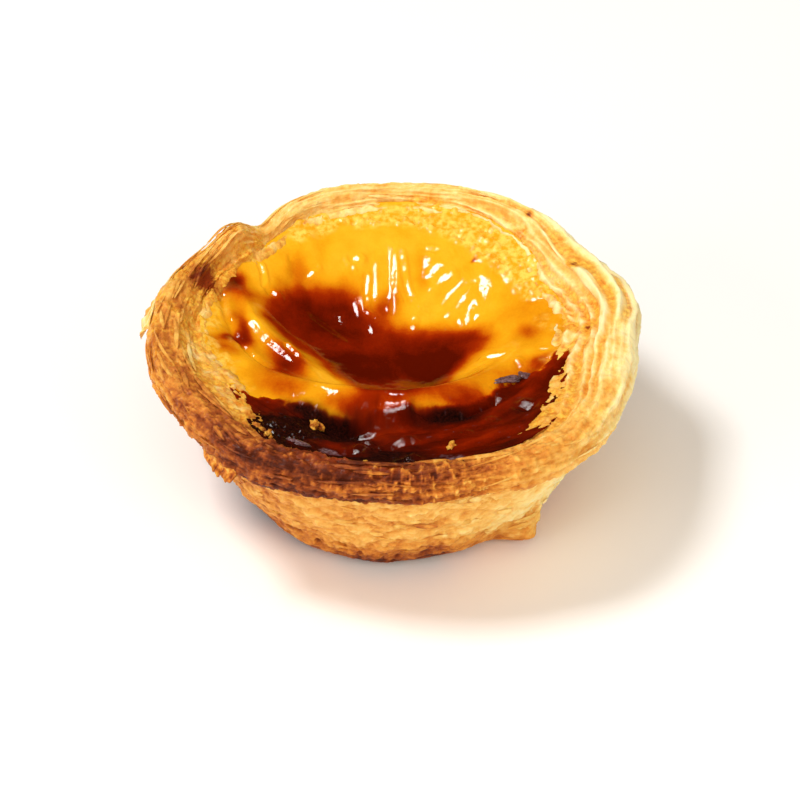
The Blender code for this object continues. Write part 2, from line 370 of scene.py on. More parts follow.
def custard_height(x, y):
    """A bowl that steepens outwards, less a shallow pit, plus two folds, the front one with a
    trench outside it, plus pleats that run down into the pit."""
    out, direction = np.hypot(x, y), np.arctan2(y, x)
    bowl = BOWL_FLOOR + BOWL_RISE * (out / BOWL_REACH) ** BOWL_POWER
    shoulder = SHOULDER_HEIGHT * lobe(direction, *SHOULDER_SIDE) * bell(out, SHOULDER_AT, SHOULDER_HALF_WIDTH)
    level = basin(x, y, *BASINS[0]) * basin(x, y, *BASINS[1])
    height = bowl + shoulder - PIT_DEPTH * (1.0 - level)

    for fold, trench in ((LEFT_FOLD, 0.0), (FRONT_FOLD, TRENCH_SHARE)):
        outside, rise, outer, inner = fold_place(x, y, fold)
        height = height + rise * bell(outside, 0.0, np.where(outside > 0, outer, inner))
        height = height - trench * rise * bell(outside, TRENCH_AWAY, TRENCH_HALF_WIDTH)

    right, back = x - PLEAT_CENTRE[0], y - PLEAT_CENTRE[1]
    pleats = sum(amount * lobe(np.arctan2(back, right), at, PLEAT_HALF_WIDTH) for at, amount in PLEATS)
    return height + pleats * bell(np.hypot(right, back), PLEAT_MIDDLE, PLEAT_REACH)


probe = np.linspace(0.0, 2.0 * np.pi, 720, endpoint=False)
print("rim reaches", rim_radius(probe).max().round(2), "mm out and", rim_top(probe).max().round(2), "mm up")
print("custard in the pit is", custard_height(np.array([-1.0]), np.array([4.0]))[0].round(2), "mm up")

# %% [markdown]
# ## The custard's skin
#
# The skin is one sheet over soft custard. It could be a cloth simulation, but where each pleat falls
# is what makes this tart itself, so the pleats are placed one by one on top of the sunken bowl. The
# fold in front of the pit is a thick roll that leans over the pit.
#
# An eye reads a wet surface from its highlights, and one shows only where the skin faces half-way
# between the lamp and the eye. Two tools make such places. A **welt** is a narrow crease along a
# path, which gives the skin the wanted slope across the path. A **tilt** leans a small patch, and
# so sets the slope along the welts that lie on it.

# %% Welts and grooves, as paths across the skin
# A welt is a short crease, where the skin climbs as steeply as WELT_SLOPE, to the right and to the
# back, and drops again beyond. Each is (half width, path), and the paths are (x, y) in mm.
WELT_SLOPE = (0.30, 0.54)
WELT_STEP, PROBE = 0.5, 0.2  # the slope is measured this often along it, and this far to each side
STEEPEST = 1.5  # the most slope that a welt may add
WELTS = [
    (0.60, [(-20.4, 19.6), (-19.9, 17.9), (-19.8, 16.4)]), (0.70, [(-19.0, 15.9), (-17.6, 15.0)]),
    (0.55, [(-14.9, 24.2), (-15.8, 22.4)]), (0.65, [(-11.8, 20.9), (-13.0, 19.9)]),
    (0.50, [(-7.5, 22.5), (-7.2, 22.1)]), (0.75, [(-6.3, 22.9), (-4.8, 22.6)]),
    (0.50, [(-6.3, 21.3), (-5.2, 18.6)]), (0.65, [(-3.9, 20.2), (-4.0, 18.0)]),
    (0.50, [(-3.8, 17.0), (-4.0, 14.8), (-2.8, 13.8)]),
    (0.40, [(0.7, 25.3), (0.2, 23.1), (0.1, 18.8), (1.3, 15.9)]),
    (0.65, [(1.5, 23.6), (1.9, 20.7), (2.5, 18.0), (3.2, 16.3)]), (0.60, [(5.6, 24.5), (7.1, 24.1)]),
    (0.40, [(9.3, 23.4), (9.6, 22.6)]), (1.20, [(6.6, 20.2), (7.8, 19.0), (9.2, 19.2)]),
    (0.50, [(5.4, 20.6), (5.8, 19.8)]), (0.85, [(12.6, 17.6), (11.6, 15.8), (9.8, 13.9), (8.5, 13.1)]),
    (0.40, [(15.3, 18.9), (15.1, 17.4)]), (0.45, [(14.8, 16.0), (14.2, 13.2), (12.8, 11.9)]),
    (0.65, [(10.2, 11.9), (8.5, 11.1)]), (0.70, [(3.5, 12.6), (3.2, 11.6)]),
    (0.35, [(6.3, 13.8), (6.7, 13.5)]), (0.22, [(-1.1, 5.2), (-0.7, 5.0)]),
    (0.16, [(4.2, 7.6), (6.0, 7.5)]), (0.75, [(-15.9, 3.2), (-14.4, 1.6)]),
    (0.40, [(-11.6, -9.0), (-9.0, -10.6)]), (0.50, [(-0.9, -11.5), (0.5, -12.0)]),
    (0.75, [(-1.6, -12.6), (0.3, -13.1), (2.3, -13.2)]), (0.70, [(14.0, 2.9), (17.0, 2.4)]),
    (0.45, [(18.9, -1.0), (19.3, -2.2)]), (0.40, [(22.6, 1.0), (23.6, 0.8)]),
    (0.50, [(15.5, -9.6), (16.4, -8.9)]), (1.25, [(-5.0, -16.2), (-3.2, -16.5)]),
    (1.05, [(-6.5, -24.1), (-5.0, -23.6), (-3.8, -21.5)]),
    (1.20, [(-1.4, -22.5), (0.6, -21.4), (2.7, -20.8)]), (1.10, [(1.7, -28.4), (3.1, -27.5)]),
    (1.15, [(19.2, -12.9), (20.3, -13.8)]), (0.40, [(10.7, -17.9), (11.4, -18.4)]),
    (0.36, [(-18.3, -18.4), (-17.4, -19.0)]), (0.42, [(-17.2, -21.2), (-16.3, -21.8)]),
    (0.40, [(14.4, -15.0), (15.6, -15.6)]), (0.34, [(-16.1, -19.5), (-15.3, -20.1)]),
    (0.40, [(-15.0, -21.6), (-14.0, -22.2)]), (0.36, [(-14.2, -23.2), (-13.4, -23.8)]),
    (0.32, [(-13.4, -20.4), (-12.7, -20.9)]),
]
# A groove is a soft dent along a path: (half width, depth, path).
GROOVES = [
    (0.60, 0.70, [(-26.6, 13.6), (-26.0, 9.6), (-24.2, 4.6), (-21.6, 0.4), (-18.6, -3.2)]),
    (0.45, 1.20, [(3.6, -13.2), (7.0, -13.4), (10.0, -12.9), (13.2, -11.4), (15.4, -10.1)]),
    (0.60, 1.50, [(-10.2, -13.6), (-7.0, -14.6), (-3.4, -14.6)]),
    (0.50, 0.80, [(15.2, -6.8), (18.0, -5.4), (21.0, -3.2), (24.2, -1.4)]),
    (1.00, 0.22, [(-11.6, 28.0), (-11.4, 24.0), (-10.2, 20.0)]),
    (0.90, 0.14, [(4.6, 25.0), (4.8, 20.0), (5.6, 16.0)]),
    (1.00, 0.30, [(-16.6, 24.4), (-15.0, 20.0), (-12.6, 18.0)]),
    (0.80, 0.18, [(11.8, 22.0), (13.2, 17.0), (12.0, 13.6)]),
]
DENT, DENT_DEPTH = ((-7.0, -16.4), (3.6, 2.2)), 2.4  # the deepest place, right under the front fold
# A tilt leans a patch of the skin a little: (centre, half sizes, extra slope to the right and to
# the back).
TILTS = [
    ((11.0, 15.8), (5.5, 6.0), (0.06, 0.15)), ((7.9, 19.2), (2.2, 1.7), (0.34, -0.08)),
    ((-1.3, 19.0), (1.5, 6.0), (-0.34, 0.0)), ((-2.4, 14.0), (2.2, 2.6), (-0.22, -0.14)),
    ((9.0, 12.0), (2.4, 1.6), (0.04, 0.06)), ((-15.0, 17.5), (1.4, 2.4), (0.25, 0.0)),
    ((18.5, 11.0), (3.0, 3.5), (0.0, -0.12)), ((16.6, 15.6), (1.6, 4.0), (-0.14, -0.06)),
    ((13.6, 14.2), (1.5, 3.2), (-0.14, -0.06)), ((0.4, -12.9), (2.8, 1.5), (0.36, 0.0)),
    ((0.7, -21.4), (2.6, 1.8), (0.46, 0.0)), ((2.4, -28.0), (1.6, 1.4), (0.62, 0.0)),
    ((-4.0, -16.4), (1.6, 1.4), (-0.2, 0.4)), ((19.8, -13.4), (1.5, 1.5), (-0.34, 0.1)),
    ((15.6, 2.6), (2.2, 1.1), (-0.37, 0.0)), ((19.1, -1.6), (1.0, 1.3), (-0.09, 0.30)),
    ((-5.2, -23.0), (1.8, 1.6), (0.58, 0.20)), ((15.9, -9.2), (1.0, 0.9), (0.35, 0.27)),
    ((-18.3, 15.4), (1.2, 1.0), (0.49, -0.30)), ((-5.5, 22.8), (1.3, 0.9), (0.38, -0.08)),
]

# %% Height and relief along paths
BAND_CENTRE, BAND_RADIUS = (0.0, 12.0), 30.0  # the fold and the scorched band go round this point
LEAN, LEAN_CENTRE, LEAN_HALF_WIDTH = 0.36, (0.0, 12.3), 2.4  # the fold leans in towards this one
LEAN_SIDE = (262.0, 62.0)  # direction and spread, in degrees


def band_polar(x, y):
    """(direction, distance) seen from the point that the front fold and the scorched band go round."""
    right, back = x - BAND_CENTRE[0], y - BAND_CENTRE[1]
    return np.arctan2(back, right), np.hypot(right, back)


def leaned(x, y):
    """Where a spot of the skin ends up when the front fold leans over the pit."""
    outside, rise, _, _ = fold_place(x, y, FRONT_FOLD)
    lean = LEAN * rise * lobe(band_polar(x, y)[0], *LEAN_SIDE) * bell(outside, 0.0, LEAN_HALF_WIDTH)
    right, back = x - LEAN_CENTRE[0], y - LEAN_CENTRE[1]
    shift = -lean / np.maximum(np.hypot(right, back), 1.0)
    return x + shift * right, y + shift * back


def path_relief(x, y, half_width, height, path, wobble):
    """A ridge along a path: a bell curve across it, fading at both ends, its width wobbling."""
    distance, share = path_distance(x, y, path)
    ends = ramp(share, 0.0, 0.12) * ramp(1.0 - share, 0.0, 0.12)
    cap = 0.45 + 0.55 * ends
    return height * cap * bell(distance, 0.0, half_width * (1.0 + 0.35 * wobble))


def skin_wobble(x, y):
    """A small wavering, which keeps welts, grooves and bubbles from looking drawn with a ruler."""
    return crumble(flat_place(x, y), 1.6, 2, seed=21)


def smooth_height(x, y):
    """The bowl, its folds and its pleats, a slow unevenness, the dent, the grooves and the tilts.
    A tilt is a slope times the distance from its centre, within a flat-topped bell curve."""
    height = custard_height(x, y) + 0.20 * crumble(flat_place(x, y), 7.0, 2, seed=23)
    height = height - DENT_DEPTH * spot(x, y, *DENT)
    wobble = skin_wobble(x, y)
    for half_width, fall, path in GROOVES:
        height = height - path_relief(x, y, half_width, fall, path, wobble)
    for (at_x, at_y), (half_x, half_y), (right, back) in TILTS:
        window = np.exp(-((((x - at_x) / half_x) ** 2 + ((y - at_y) / half_y) ** 2) ** 2))
        height = height + (right * (x - at_x) + back * (y - at_y)) * window
    return height


def welt_relief(x, y, half_width, path):
    """A facet along a path: the height changes evenly across the path, by as much as the slope
    there misses the wanted slope, and a flat-topped bell curve limits it to the welt's width."""
    near_x, near_y, share = path_nearest(x, y, path)
    nodes = np.array(path, float)
    walked = np.concatenate([[0.0], np.cumsum(np.linalg.norm(np.diff(nodes, axis=0), axis=1))])
    shares = np.linspace(0.0, 1.0, int(walked[-1] / WELT_STEP) + 2)
    places = np.stack([np.interp(shares, walked / walked[-1], nodes[:, axis]) for axis in (0, 1)], axis=1)
    climb = 0.0
    for axis, wanted in enumerate(WELT_SLOPE):
        ahead, behind = (places + side * np.eye(2)[axis] for side in (PROBE, -PROBE))
        slope = (smooth_height(*ahead.T) - smooth_height(*behind.T)) / (2.0 * PROBE)
        stretch = (leaned(*ahead.T)[axis] - leaned(*behind.T)[axis]) / (2.0 * PROBE)
        missing = np.clip(wanted * stretch - slope, -STEEPEST, STEEPEST)
        climb = climb + np.interp(share, shares, missing) * ((x - near_x) if axis == 0 else (y - near_y))
    return climb * np.exp(-((np.hypot(x - near_x, y - near_y) / half_width) ** 4))


print("the skin has", len(WELTS), "welts,", len(GROOVES), "grooves and", len(TILTS), "tilts")

# %% [markdown]
# ## Where the skin is dark
#
# Sugar browns first where the skin is thin and where it touched the hot air, so the colour is part
# of the tart's own story and is settled together with its shape. Painting it on an image would be
# the usual way, but then it would be only as sharp as the image. Here each mark is a number for
# every vertex: caramel for how brown it is, scorch for the burnt band in front of the fold, blister
# for the dry froth along the crust, and one for black, which is charred skin and also painted shadow
# in the gaps under the front fold. The caramel mark also holds painted shade on the custard's right
# side. Soft spots, outlines and paths give the marks their places, and noise makes their edges ragged.

# %% Where the skin is dark
DARK_OUTLINE = [
    (-18.5, 13.5), (-16.5, 17.0), (-13.0, 18.3), (-9.0, 17.8), (-6.0, 17.0), (-4.0, 15.2),
    (-2.4, 13.6), (0.0, 12.4), (2.5, 11.0), (6.0, 10.6), (10.0, 10.8), (13.2, 9.6), (14.2, 7.6),
    (13.4, 5.2), (11.0, 3.4), (9.2, 1.0), (7.6, -2.0), (5.0, -4.5), (0.0, -6.0), (-4.0, -5.0),
    (-6.4, -2.4), (-8.4, 0.6), (-10.5, 3.6), (-13.0, 6.2), (-16.0, 7.6), (-18.6, 9.6),
]
SCORCH_OUTLINE = [
    (-25.4, -9.0), (-22.1, -9.6), (-20.2, -10.0), (-17.1, -10.0), (-13.8, -10.6), (-11.1, -11.6),
    (-9.1, -12.6), (-7.2, -13.0), (-5.1, -12.9), (-2.9, -12.6), (-0.2, -12.5), (3.7, -12.4),
    (7.7, -11.6), (11.2, -9.9), (14.3, -7.7), (15.1, -6.6), (17.8, -4.8), (21.3, -2.8), (25.4, -1.2),
    (28.0, -3.0), (28.4, -8.0), (27.8, -13.0), (26.8, -18.0), (24.8, -23.0), (21.0, -27.4),
    (15.0, -31.0), (8.0, -33.4), (0.0, -34.4), (-8.0, -33.4), (-15.0, -30.4), (-20.6, -25.0),
    (-24.0, -19.0), (-25.6, -13.0), (-26.0, -10.0),
]
BLISTER_PATH = [(-15, 27.5), (-8, 30.6), (0, 31.2), (8, 29.6), (13, 26.6), (18, 22.0), (22.6, 16.0)]
# Caramel pools where the skin is lowest: (centre, half sizes, turn in degrees, amount). The broad pool at
# (21, 9) is partly caramel and partly painted shade on the custard's right side.
CARAMEL_AND_SHADE_POOLS = [
    ((-11.0, 13.0), (6.0, 4.0), 0, 0.18), ((-6.0, 3.4), (7.4, 5.0), 0, 0.22),
    ((6.0, 5.0), (5.6, 4.0), 0, 0.26), ((0.2, -10.2), (5.2, 3.4), 0, 0.58),
    ((-15.8, -0.8), (2.8, 4.0), 0, 0.76), ((-18.0, 2.0), (2.4, 3.0), 0, 0.18),
    ((-25.4, 15.4), (2.2, 2.4), 30, 0.87), ((-28.0, 12.4), (2.6, 1.2), 55, 0.38),
    ((-23.6, 3.0), (2.6, 1.6), 10, 0.67), ((-15.0, 20.4), (1.8, 3.0), 15, 0.38),
    ((-11.6, 25.6), (1.3, 3.2), 0, 0.16), ((-7.0, 19.6), (3.6, 1.8), 0, 0.14),
    ((4.9, 20.4), (1.2, 4.2), 0, 0.24), ((-0.6, 15.6), (1.8, 2.4), 0, 0.50),
    ((21.0, 9.0), (6.5, 8.0), 0, 0.23), ((20.4, 6.0), (1.8, 1.8), 0, 0.26),
    ((26.0, 0.0), (1.6, 5.0), 0, 0.41), ((-9.0, 17.6), (5.0, 2.0), 0, 0.12),
    ((-1.0, -9.4), (4.4, 2.6), 0, 0.30), ((-14.0, -6.6), (6.0, 2.6), -20, 0.11),
    ((-26.0, 11.0), (2.8, 2.8), 0, 0.12), ((12.6, -9.6), (3.6, 2.0), 25, 0.60),
    ((-5.6, -12.8), (5.0, 1.3), -8, 0.60), ((-23.4, 9.0), (1.6, 4.6), -10, 0.26),
    ((-19.6, -4.5), (3.0, 3.4), -40, 0.19), ((-9.6, -1.4), (2.6, 1.8), 0, -0.22),
    ((-22.4, 5.6), (1.2, 3.0), 20, 0.55), ((9.8, -5.6), (6.0, 2.6), 20, 0.36),
    ((20.5, -3.4), (4.0, 2.6), 30, 0.34), ((-16.0, -8.6), (4.0, 2.4), -25, 0.34),
    ((6.4, -9.6), (4.0, 2.2), 8, 0.42), ((-3.4, -9.0), (2.0, 2.0), 0, 0.54),
    ((16.0, -3.0), (4.0, 3.0), 0, 0.12), ((22.6, -1.4), (1.6, 1.0), 30, 0.37),
    ((7.4, -0.4), (2.4, 3.4), 20, 0.14), ((-22.0, 13.4), (2.4, 1.6), 0, 0.30),
    ((-19.2, 11.0), (1.8, 3.0), 0, 0.20), ((-27.0, 1.0), (2.6, 2.6), 0, 0.22),
    ((-24.0, -0.4), (1.8, 1.5), 0, 0.34), ((-19.2, -7.6), (1.8, 1.5), -30, 0.14),
    ((9.0, -11.2), (2.6, 1.0), 5, 0.28), ((10.4, 0.6), (2.6, 2.0), 0, 0.10),
    ((12.9, 21.5), (0.45, 0.45), 0, 0.65), ((15.9, 21.2), (0.8, 0.55), 0, 0.5),
    ((14.9, 22.0), (0.5, 0.35), 0, 0.4), ((-18.6, 25.6), (0.4, 0.4), 0, 0.6),
]
# Black places on the scorched band: (centre, half sizes, turn, amount). Most are burnt skin, but the ones at
# (-8, -17) and (8.8, -13.2) paint the shadow in the gaps under the front fold.
BLACK_SPOTS = [
    ((-15.0, -19.0), (5.4, 5.6), 0, 1.6), ((-8.0, -17.0), (4.4, 4.4), 0, 1.6),
    ((8.8, -13.2), (4.6, 1.3), 4, 1.5), ((-0.5, -26.5), (5.8, 5.4), 0, 1.1),
    ((-13.0, -12.0), (4.0, 1.4), -20, 0.6), ((1.0, -18.4), (6.0, 3.2), 0, 0.2),
    ((19.0, -14.0), (2.0, 5.0), 0, 0.6),
]
# Places where a pale sheen is painted grey on the black burnt skin, and a dried-out one under the fold.
GREY_SHEEN_SPOTS = [((8.6, -29.4), (3.0, 1.8), 0, 1.0), ((-9.0, -25.6), (3.4, 1.6), 0, 0.7)]
DRY_SPOTS = [((-5.2, -12.6), (2.8, 1.4), 0, 0.9)]
BEADS_AT = ((-16.0, -19.6), (5.0, 5.4))  # syrup that boiled up stands here as small round beads


def band_space(x, y, stretch):
    """Places that follow the scorched band, squeezed along it, so that patterns run along it."""
    direction, distance = band_polar(x, y)
    squeezed = BAND_RADIUS / stretch
    return np.stack([squeezed * np.cos(direction), squeezed * np.sin(direction), distance], axis=-1)


def skin_marks(x, y):
    """How far the skin is caramelised, scorched, blistered and black at each point, 0 to 1, with painted
    shade in the caramel and painted shadow in the black.
    """
    flat, direction = flat_place(x, y), np.arctan2(y, x)
    u, v = x + 1.1 * crumble(flat, 7.0, 3, seed=3), y + 1.1 * crumble(flat, 7.0, 3, seed=5)
    # Caramel from the pools, one of which also paints shade on the custard's right side.
    caramel_and_shade = 0.05 + spots(u, v, CARAMEL_AND_SHADE_POOLS)
    caramel_and_shade += 0.76 * ramp(outline_depth(u, v, DARK_OUTLINE), -2.8, 2.2)

    # The scorched band ends softly along the fold and raggedly at its left and right ends.
    ends = ramp(np.abs(x), 12.0, 20.0)
    tear = (0.22 + 0.88 * ends) * crumble(flat, 2.6, 4, seed=11, keep=0.62)
    ragged = outline_depth(x, y, SCORCH_OUTLINE) + tear
    scorch = ramp(ragged, -0.9 + 0.6 * ends, 0.9 - 0.4 * ends)
    patchy = 0.94 + 0.20 * crumble(band_space(x, y, 2.4), 3.4, 3, seed=15)
    caramel_and_shade = np.maximum(caramel_and_shade, scorch * patchy * ramp(ragged, -1.6, 1.6))

    # Froth dried along the back, and in a narrow border along both sides.
    away, _ = path_distance(x, y, BLISTER_PATH)
    reach = 2.6 + 1.3 * ramp(x, -2.0, 10.0) + 0.9 * crumble(flat, 3.0, 3, seed=13)
    blister = ramp(reach - away, 0.0, 1.2)
    from_edge = contact_radius(direction) - np.hypot(x, y) + 2.6 * crumble(flat, 3.2, 4, seed=19)
    border = around(direction, 0.0, [(14, 30, 0.8), (184, 24, 1.0)])
    blister = np.maximum(blister, border * (1.0 - scorch) * ramp(3.2 - from_edge, 0.0, 3.0))
    caramel_and_shade += 0.07 * (1.0 - blister) * (1.0 - scorch) * crumble(flat, 3.4, 3, seed=121)

    at_rim = around(direction, 0.0, [(262, 44, 1.0), (318, 18, 0.2)]) * ramp(5.0 - from_edge, 0.0, 4.0)
    # The black spots hold burnt skin, and also painted shadow in the gaps under the front fold.
    black = spots(x, y, BLACK_SPOTS) + 0.8 * at_rim
    char_and_shadow = scorch * np.clip(black + 0.30 * crumble(flat, 2.6, 3, seed=17) - 0.05, 0.0, 1.0)
    return np.clip(caramel_and_shade, 0.0, 1.2), scorch, blister, char_and_shadow


# %% [markdown]
# ## The skin's fine relief
#
# Welts, wrinkles, bubbles and beads come last, on top of the smooth skin. Where it is scorched, the
# skin is a crisp sheet that wrinkled along the band. Where it is frothy, it is full of bubbles, and
# some of them have burst. The same function tells how dry each point is, because the welts and the
# beads are what still shines on the scorched part, and where a pale sheen is painted grey on it.


# %% The skin's relief
def skin_point(x, y):
    """Each point of the skin: the bowl's height plus all relief, leaned over the pit at the fold."""
    flat, wobble = flat_place(x, y), skin_wobble(x, y)
    caramel_and_shade, scorch, blister, char_and_shadow = skin_marks(x, y)

    height, calm = smooth_height(x, y), 1.0
    for half_width, path in WELTS:
        height += welt_relief(x + 0.10 * wobble, y, half_width, path)
        calm = calm * (1.0 - np.exp(-((path_distance(x, y, path)[0] / (half_width + 0.2)) ** 4)))
    height += (1.0 - scorch) * 0.010 * noise(flat, 0.8, seed=25)
    # Scorched skin wrinkles along the band, with a fine grain on the wrinkles.
    wrinkle = 1.0 - np.abs(noise(band_space(x, y, 3.4), 2.9, seed=27))
    grain = crumble(band_space(x, y, 1.6), 1.0, 2, seed=29)
    height += scorch * (0.4 + 0.6 * calm) * (0.10 + 0.50 * wrinkle**2 + 0.10 * grain)
    # Each cell of the froth holds one bubble: some stand up, a few have burst, and the rest are flat.
    near, _, lot = cells(flat + 0.45 * wobble[..., None], 1.6, seed=31)
    bubble = ramp(0.52 - near, 0.0, 0.42)
    height += blister * (0.16 + 0.46 * bubble * (lot > 0.42) - 0.60 * bubble * (lot < 0.22))
    bead = spot(x, y, *BEADS_AT) * ramp(0.6 - cells(flat, 0.9, seed=33)[0], 0.0, 0.5)
    height += 0.60 * scorch * bead

    outside, *_ = fold_place(x, y, FRONT_FOLD)
    dry = scorch * ramp(outside, 1.0, 2.8) * calm * (1.0 - 0.7 * bead) + spots(x, y, DRY_SPOTS)
    # Painted sheen: grey is painted on the black burnt skin at the listed spots and in a few noisy patches.
    grey_sheen = spots(x, y, GREY_SHEEN_SPOTS) + 0.5 * crumble(flat, 1.4, 3, seed=107)
    place = np.stack([*leaned(x, y), height], axis=-1)
    return place, caramel_and_shade, scorch, blister, char_and_shadow, np.clip(dry, 0.0, 1.0), scorch * ramp(grey_sheen, 0.35, 0.85)


# %% Build the custard
SKIN_COLUMNS, SKIN_ROWS = 720, 128
ROWS_OUTWARDS = 0.92  # under 1, so that the rows lie a little closer together near the edge
UNDER_SKIN = 0.5  # the skin runs this far out under the crust, so that no gap shows
CUSTARD_GAP = 0.3  # the clearance that the solids keep between custard and pastry
HIDDEN_SHARES = (0.30, 0.62)  # rings on the custard's hidden side, as shares of the lip's height

theta = np.linspace(0.0, 2.0 * np.pi, SKIN_COLUMNS, endpoint=False)
reach = contact_radius(theta) + UNDER_SKIN
shares = np.linspace(1.0, 0.0, SKIN_ROWS, endpoint=False) ** ROWS_OUTWARDS
radius = shares[:, None] * reach
skin, *skin_values = skin_point(radius * np.cos(theta), radius * np.sin(theta))
middle, *middle_values = skin_point(np.zeros(1), np.zeros(1))


def level_ring(radius, height):
    """One ring of points, from a radius and a height for each angle."""
    radius, height = radius + 0.0 * theta, height + 0.0 * theta
    return np.stack([radius * np.cos(theta), radius * np.sin(theta), height], axis=-1)


floor = FLOOR_THICKNESS + CUSTARD_GAP
hidden = [level_ring(BASE_RADIUS - WALL_THICKNESS - 2.0 * CUSTARD_GAP, floor)]
for share in HIDDEN_SHARES:
    side = wall_radius(theta, share) - WALL_THICKNESS - 2.0 * CUSTARD_GAP
    hidden.append(level_ring(side, lip_height(theta) * share))
rows = np.concatenate([np.stack(hidden), skin])
points = np.concatenate([rows.reshape(-1, 3), [[0.0, 0.0, floor]], middle])
quads = grid_faces(len(rows), SKIN_COLUMNS, closed_rows=False)
ring = np.arange(SKIN_COLUMNS)
last_ring = ring + (len(rows) - 1) * SKIN_COLUMNS
poles = len(points) - 2, len(points) - 1
triangles = [pole_faces(ring, poles[0], ring_first=False), pole_faces(last_ring, poles[1], ring_first=True)]


def skin_mark(values, at_middle):
    """One number for each custard vertex: zero on the hidden sides, then the skin's, then the poles'."""
    return np.concatenate([np.zeros(len(hidden) * SKIN_COLUMNS), values.ravel(), [0.0], at_middle])


names = ("caramel_and_shade", "scorch", "blister", "char_and_shadow", "dry", "grey_sheen")
marks = {name: skin_mark(*pair) for name, *pair in zip(names, skin_values, middle_values)}
custard = mesh_object("custard_skin", points, quads, np.concatenate(triangles), marks)
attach(custard, "root")
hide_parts("custard_filling")

# %% [markdown]
# ## The pastry: a smooth section first
#
# Puff pastry is a hundred leaves of dough with butter between them. Baked, it is neither smooth nor
# plainly rough: it is built of torn edges that lie on one another. The cup is made in two closed
# pieces, because its wall and its rim need different fineness. The wall is a cup, and the rim is a
# ring that sits on it and covers the join, as the thick pinched edge does on the real one.
#
# Each section is a short list of corners, and a Catmull-Rom curve makes it round. That curve passes
# through its corners, so the pieces keep the size that the corners give.


# %% A smooth section through a few rings
def smooth_rows(rings, places, closed):
    """Rows of points at fractional ring numbers, on Catmull-Rom curves through the rings."""
    rings, count = np.asarray(rings), len(rings)
    first = np.floor(places).astype(int)
    t = (places - first)[:, None, None]
    wrap = (lambda i: i % count) if closed else (lambda i: np.clip(i, 0, count - 1))
    before, this, after, later = (rings[wrap(first + k)] for k in (-1, 0, 1, 2))
    return 0.5 * (
        2.0 * this + (after - before) * t + (2.0 * before - 5.0 * this + 4.0 * after - later) * t**2
        + (3.0 * this - before - 3.0 * after + later) * t**3
    )


def even_places(rings, fineness, count, closed):
    """Ring numbers for the wanted count of rows, close together where fineness is high."""
    around_mean = np.asarray(rings).mean(axis=1)
    ends = np.roll(around_mean, -1, axis=0) if closed else around_mean[1:]
    starts = around_mean if closed else around_mean[:-1]
    weight = np.linalg.norm(ends - starts, axis=1) * np.asarray(fineness, float)
    walked = np.concatenate([[0.0], np.cumsum(weight)])
    wanted = np.linspace(0.0, walked[-1], count, endpoint=not closed)
    places = np.interp(wanted, walked, np.arange(len(walked)))
    return places if closed else np.minimum(places, len(rings) - 1 - 1e-9)


def spun(theta, profile):
    """Points from (radius, height) rows over the angle."""
    radius, height = profile[..., 0], profile[..., 1]
    return np.stack([radius * np.cos(theta), radius * np.sin(theta), height], axis=-1)


def both(radius, height, theta):
    return np.stack([radius + 0.0 * theta, height + 0.0 * theta], axis=-1)


# %% The wall's corners
WALL_COLUMNS, WALL_ROWS = 760, 112
BASE_SHARES = (0.3, 0.65)  # rings across the underside, as shares of its radius
BASE_CORNER = 0.3  # the share of the base's rounding at which its middle ring stands
WALL_SHARES = (0.08, 0.2, 0.35, 0.52, 0.7, 0.86, 0.97)  # rings up the wall, as shares of the lip's height
FLAKE_TOP, FLAKE_FADE = 0.44, 0.38  # the wall's lobes end this share of the way up, and fade over this
UNDER_LIP = (1.2, 1.4)  # the wall's top ring lies this far in from the wall's top and this far up
INSIDE_SHARES, INSIDE_INSET = (0.7, 0.3), 3.0  # rings down the hidden inside, and how far in they lie


def wall_corners(theta):
    """The cup from the middle underneath, out, up the wall, in under the lip and down its inside."""
    lip = lip_height(theta)
    corners = [both(BASE_RADIUS * share, 0.0, theta) for share in BASE_SHARES]
    corners.append(both(BASE_RADIUS - BASE_ROUNDING, 0.0, theta))
    corners.append(both(BASE_RADIUS - BASE_CORNER * BASE_ROUNDING, BASE_CORNER * BASE_ROUNDING, theta))
    for share in WALL_SHARES:
        flake = around(theta, 0.0, WALL_LOBES) * np.clip((FLAKE_TOP - share) / FLAKE_FADE, 0.0, 1.0)
        belly = WALL_BELLY * np.sin(np.pi * share)
        corners.append(both(wall_radius(theta, share) + belly + flake, lip * share, theta))
    corners.append(both(rim_radius(theta) - LIP_OVERHANG - UNDER_LIP[0], lip + UNDER_LIP[1], theta))
    for share in INSIDE_SHARES:
        hidden = np.minimum(wall_radius(theta, share) - INSIDE_INSET, contact_radius(theta))
        corners.append(both(hidden, lip * share, theta))
    corners.append(both(BASE_RADIUS - WALL_THICKNESS, FLOOR_THICKNESS, theta))
    return corners


# %% The rim's corners
RIM_COLUMNS, RIM_ROWS = 960, 103
INNER_DROP = 1.1  # the rim's inner edge lies this far under its top
LIP_HIDDEN = ((3.2, -0.2), (2.0, -0.1))  # (in from the rim's edge, up from the lip's underside)
LIP_UNDERSIDE = ((0.9, 0.1), (0.1, 1.0))  # the same, where the lip shows
LIP_WIDEST = 0.45  # the lip is widest this share of the way from its underside to its top
RIM_SHOULDER = ((0.35, 1.3), (1.1, 0.3))  # (in from the rim's edge, down from its top)
RIM_INSIDE = ((0.5, 0.35), (0.0, INNER_DROP))  # (out from the rim's inner edge, down from its top)
SLOPE_SHARES = (0.35, 0.7)  # rings down the bare slope, as shares of its width
OVERHANGS = [(326, 18, 0.95), (213, 13, 0.35)]  # where the crust hangs over the custard
UNDER_CUSTARD = ((1.2, 1.0), (0.6, 3.2))  # (in from the crust's inner edge, down from it), hidden


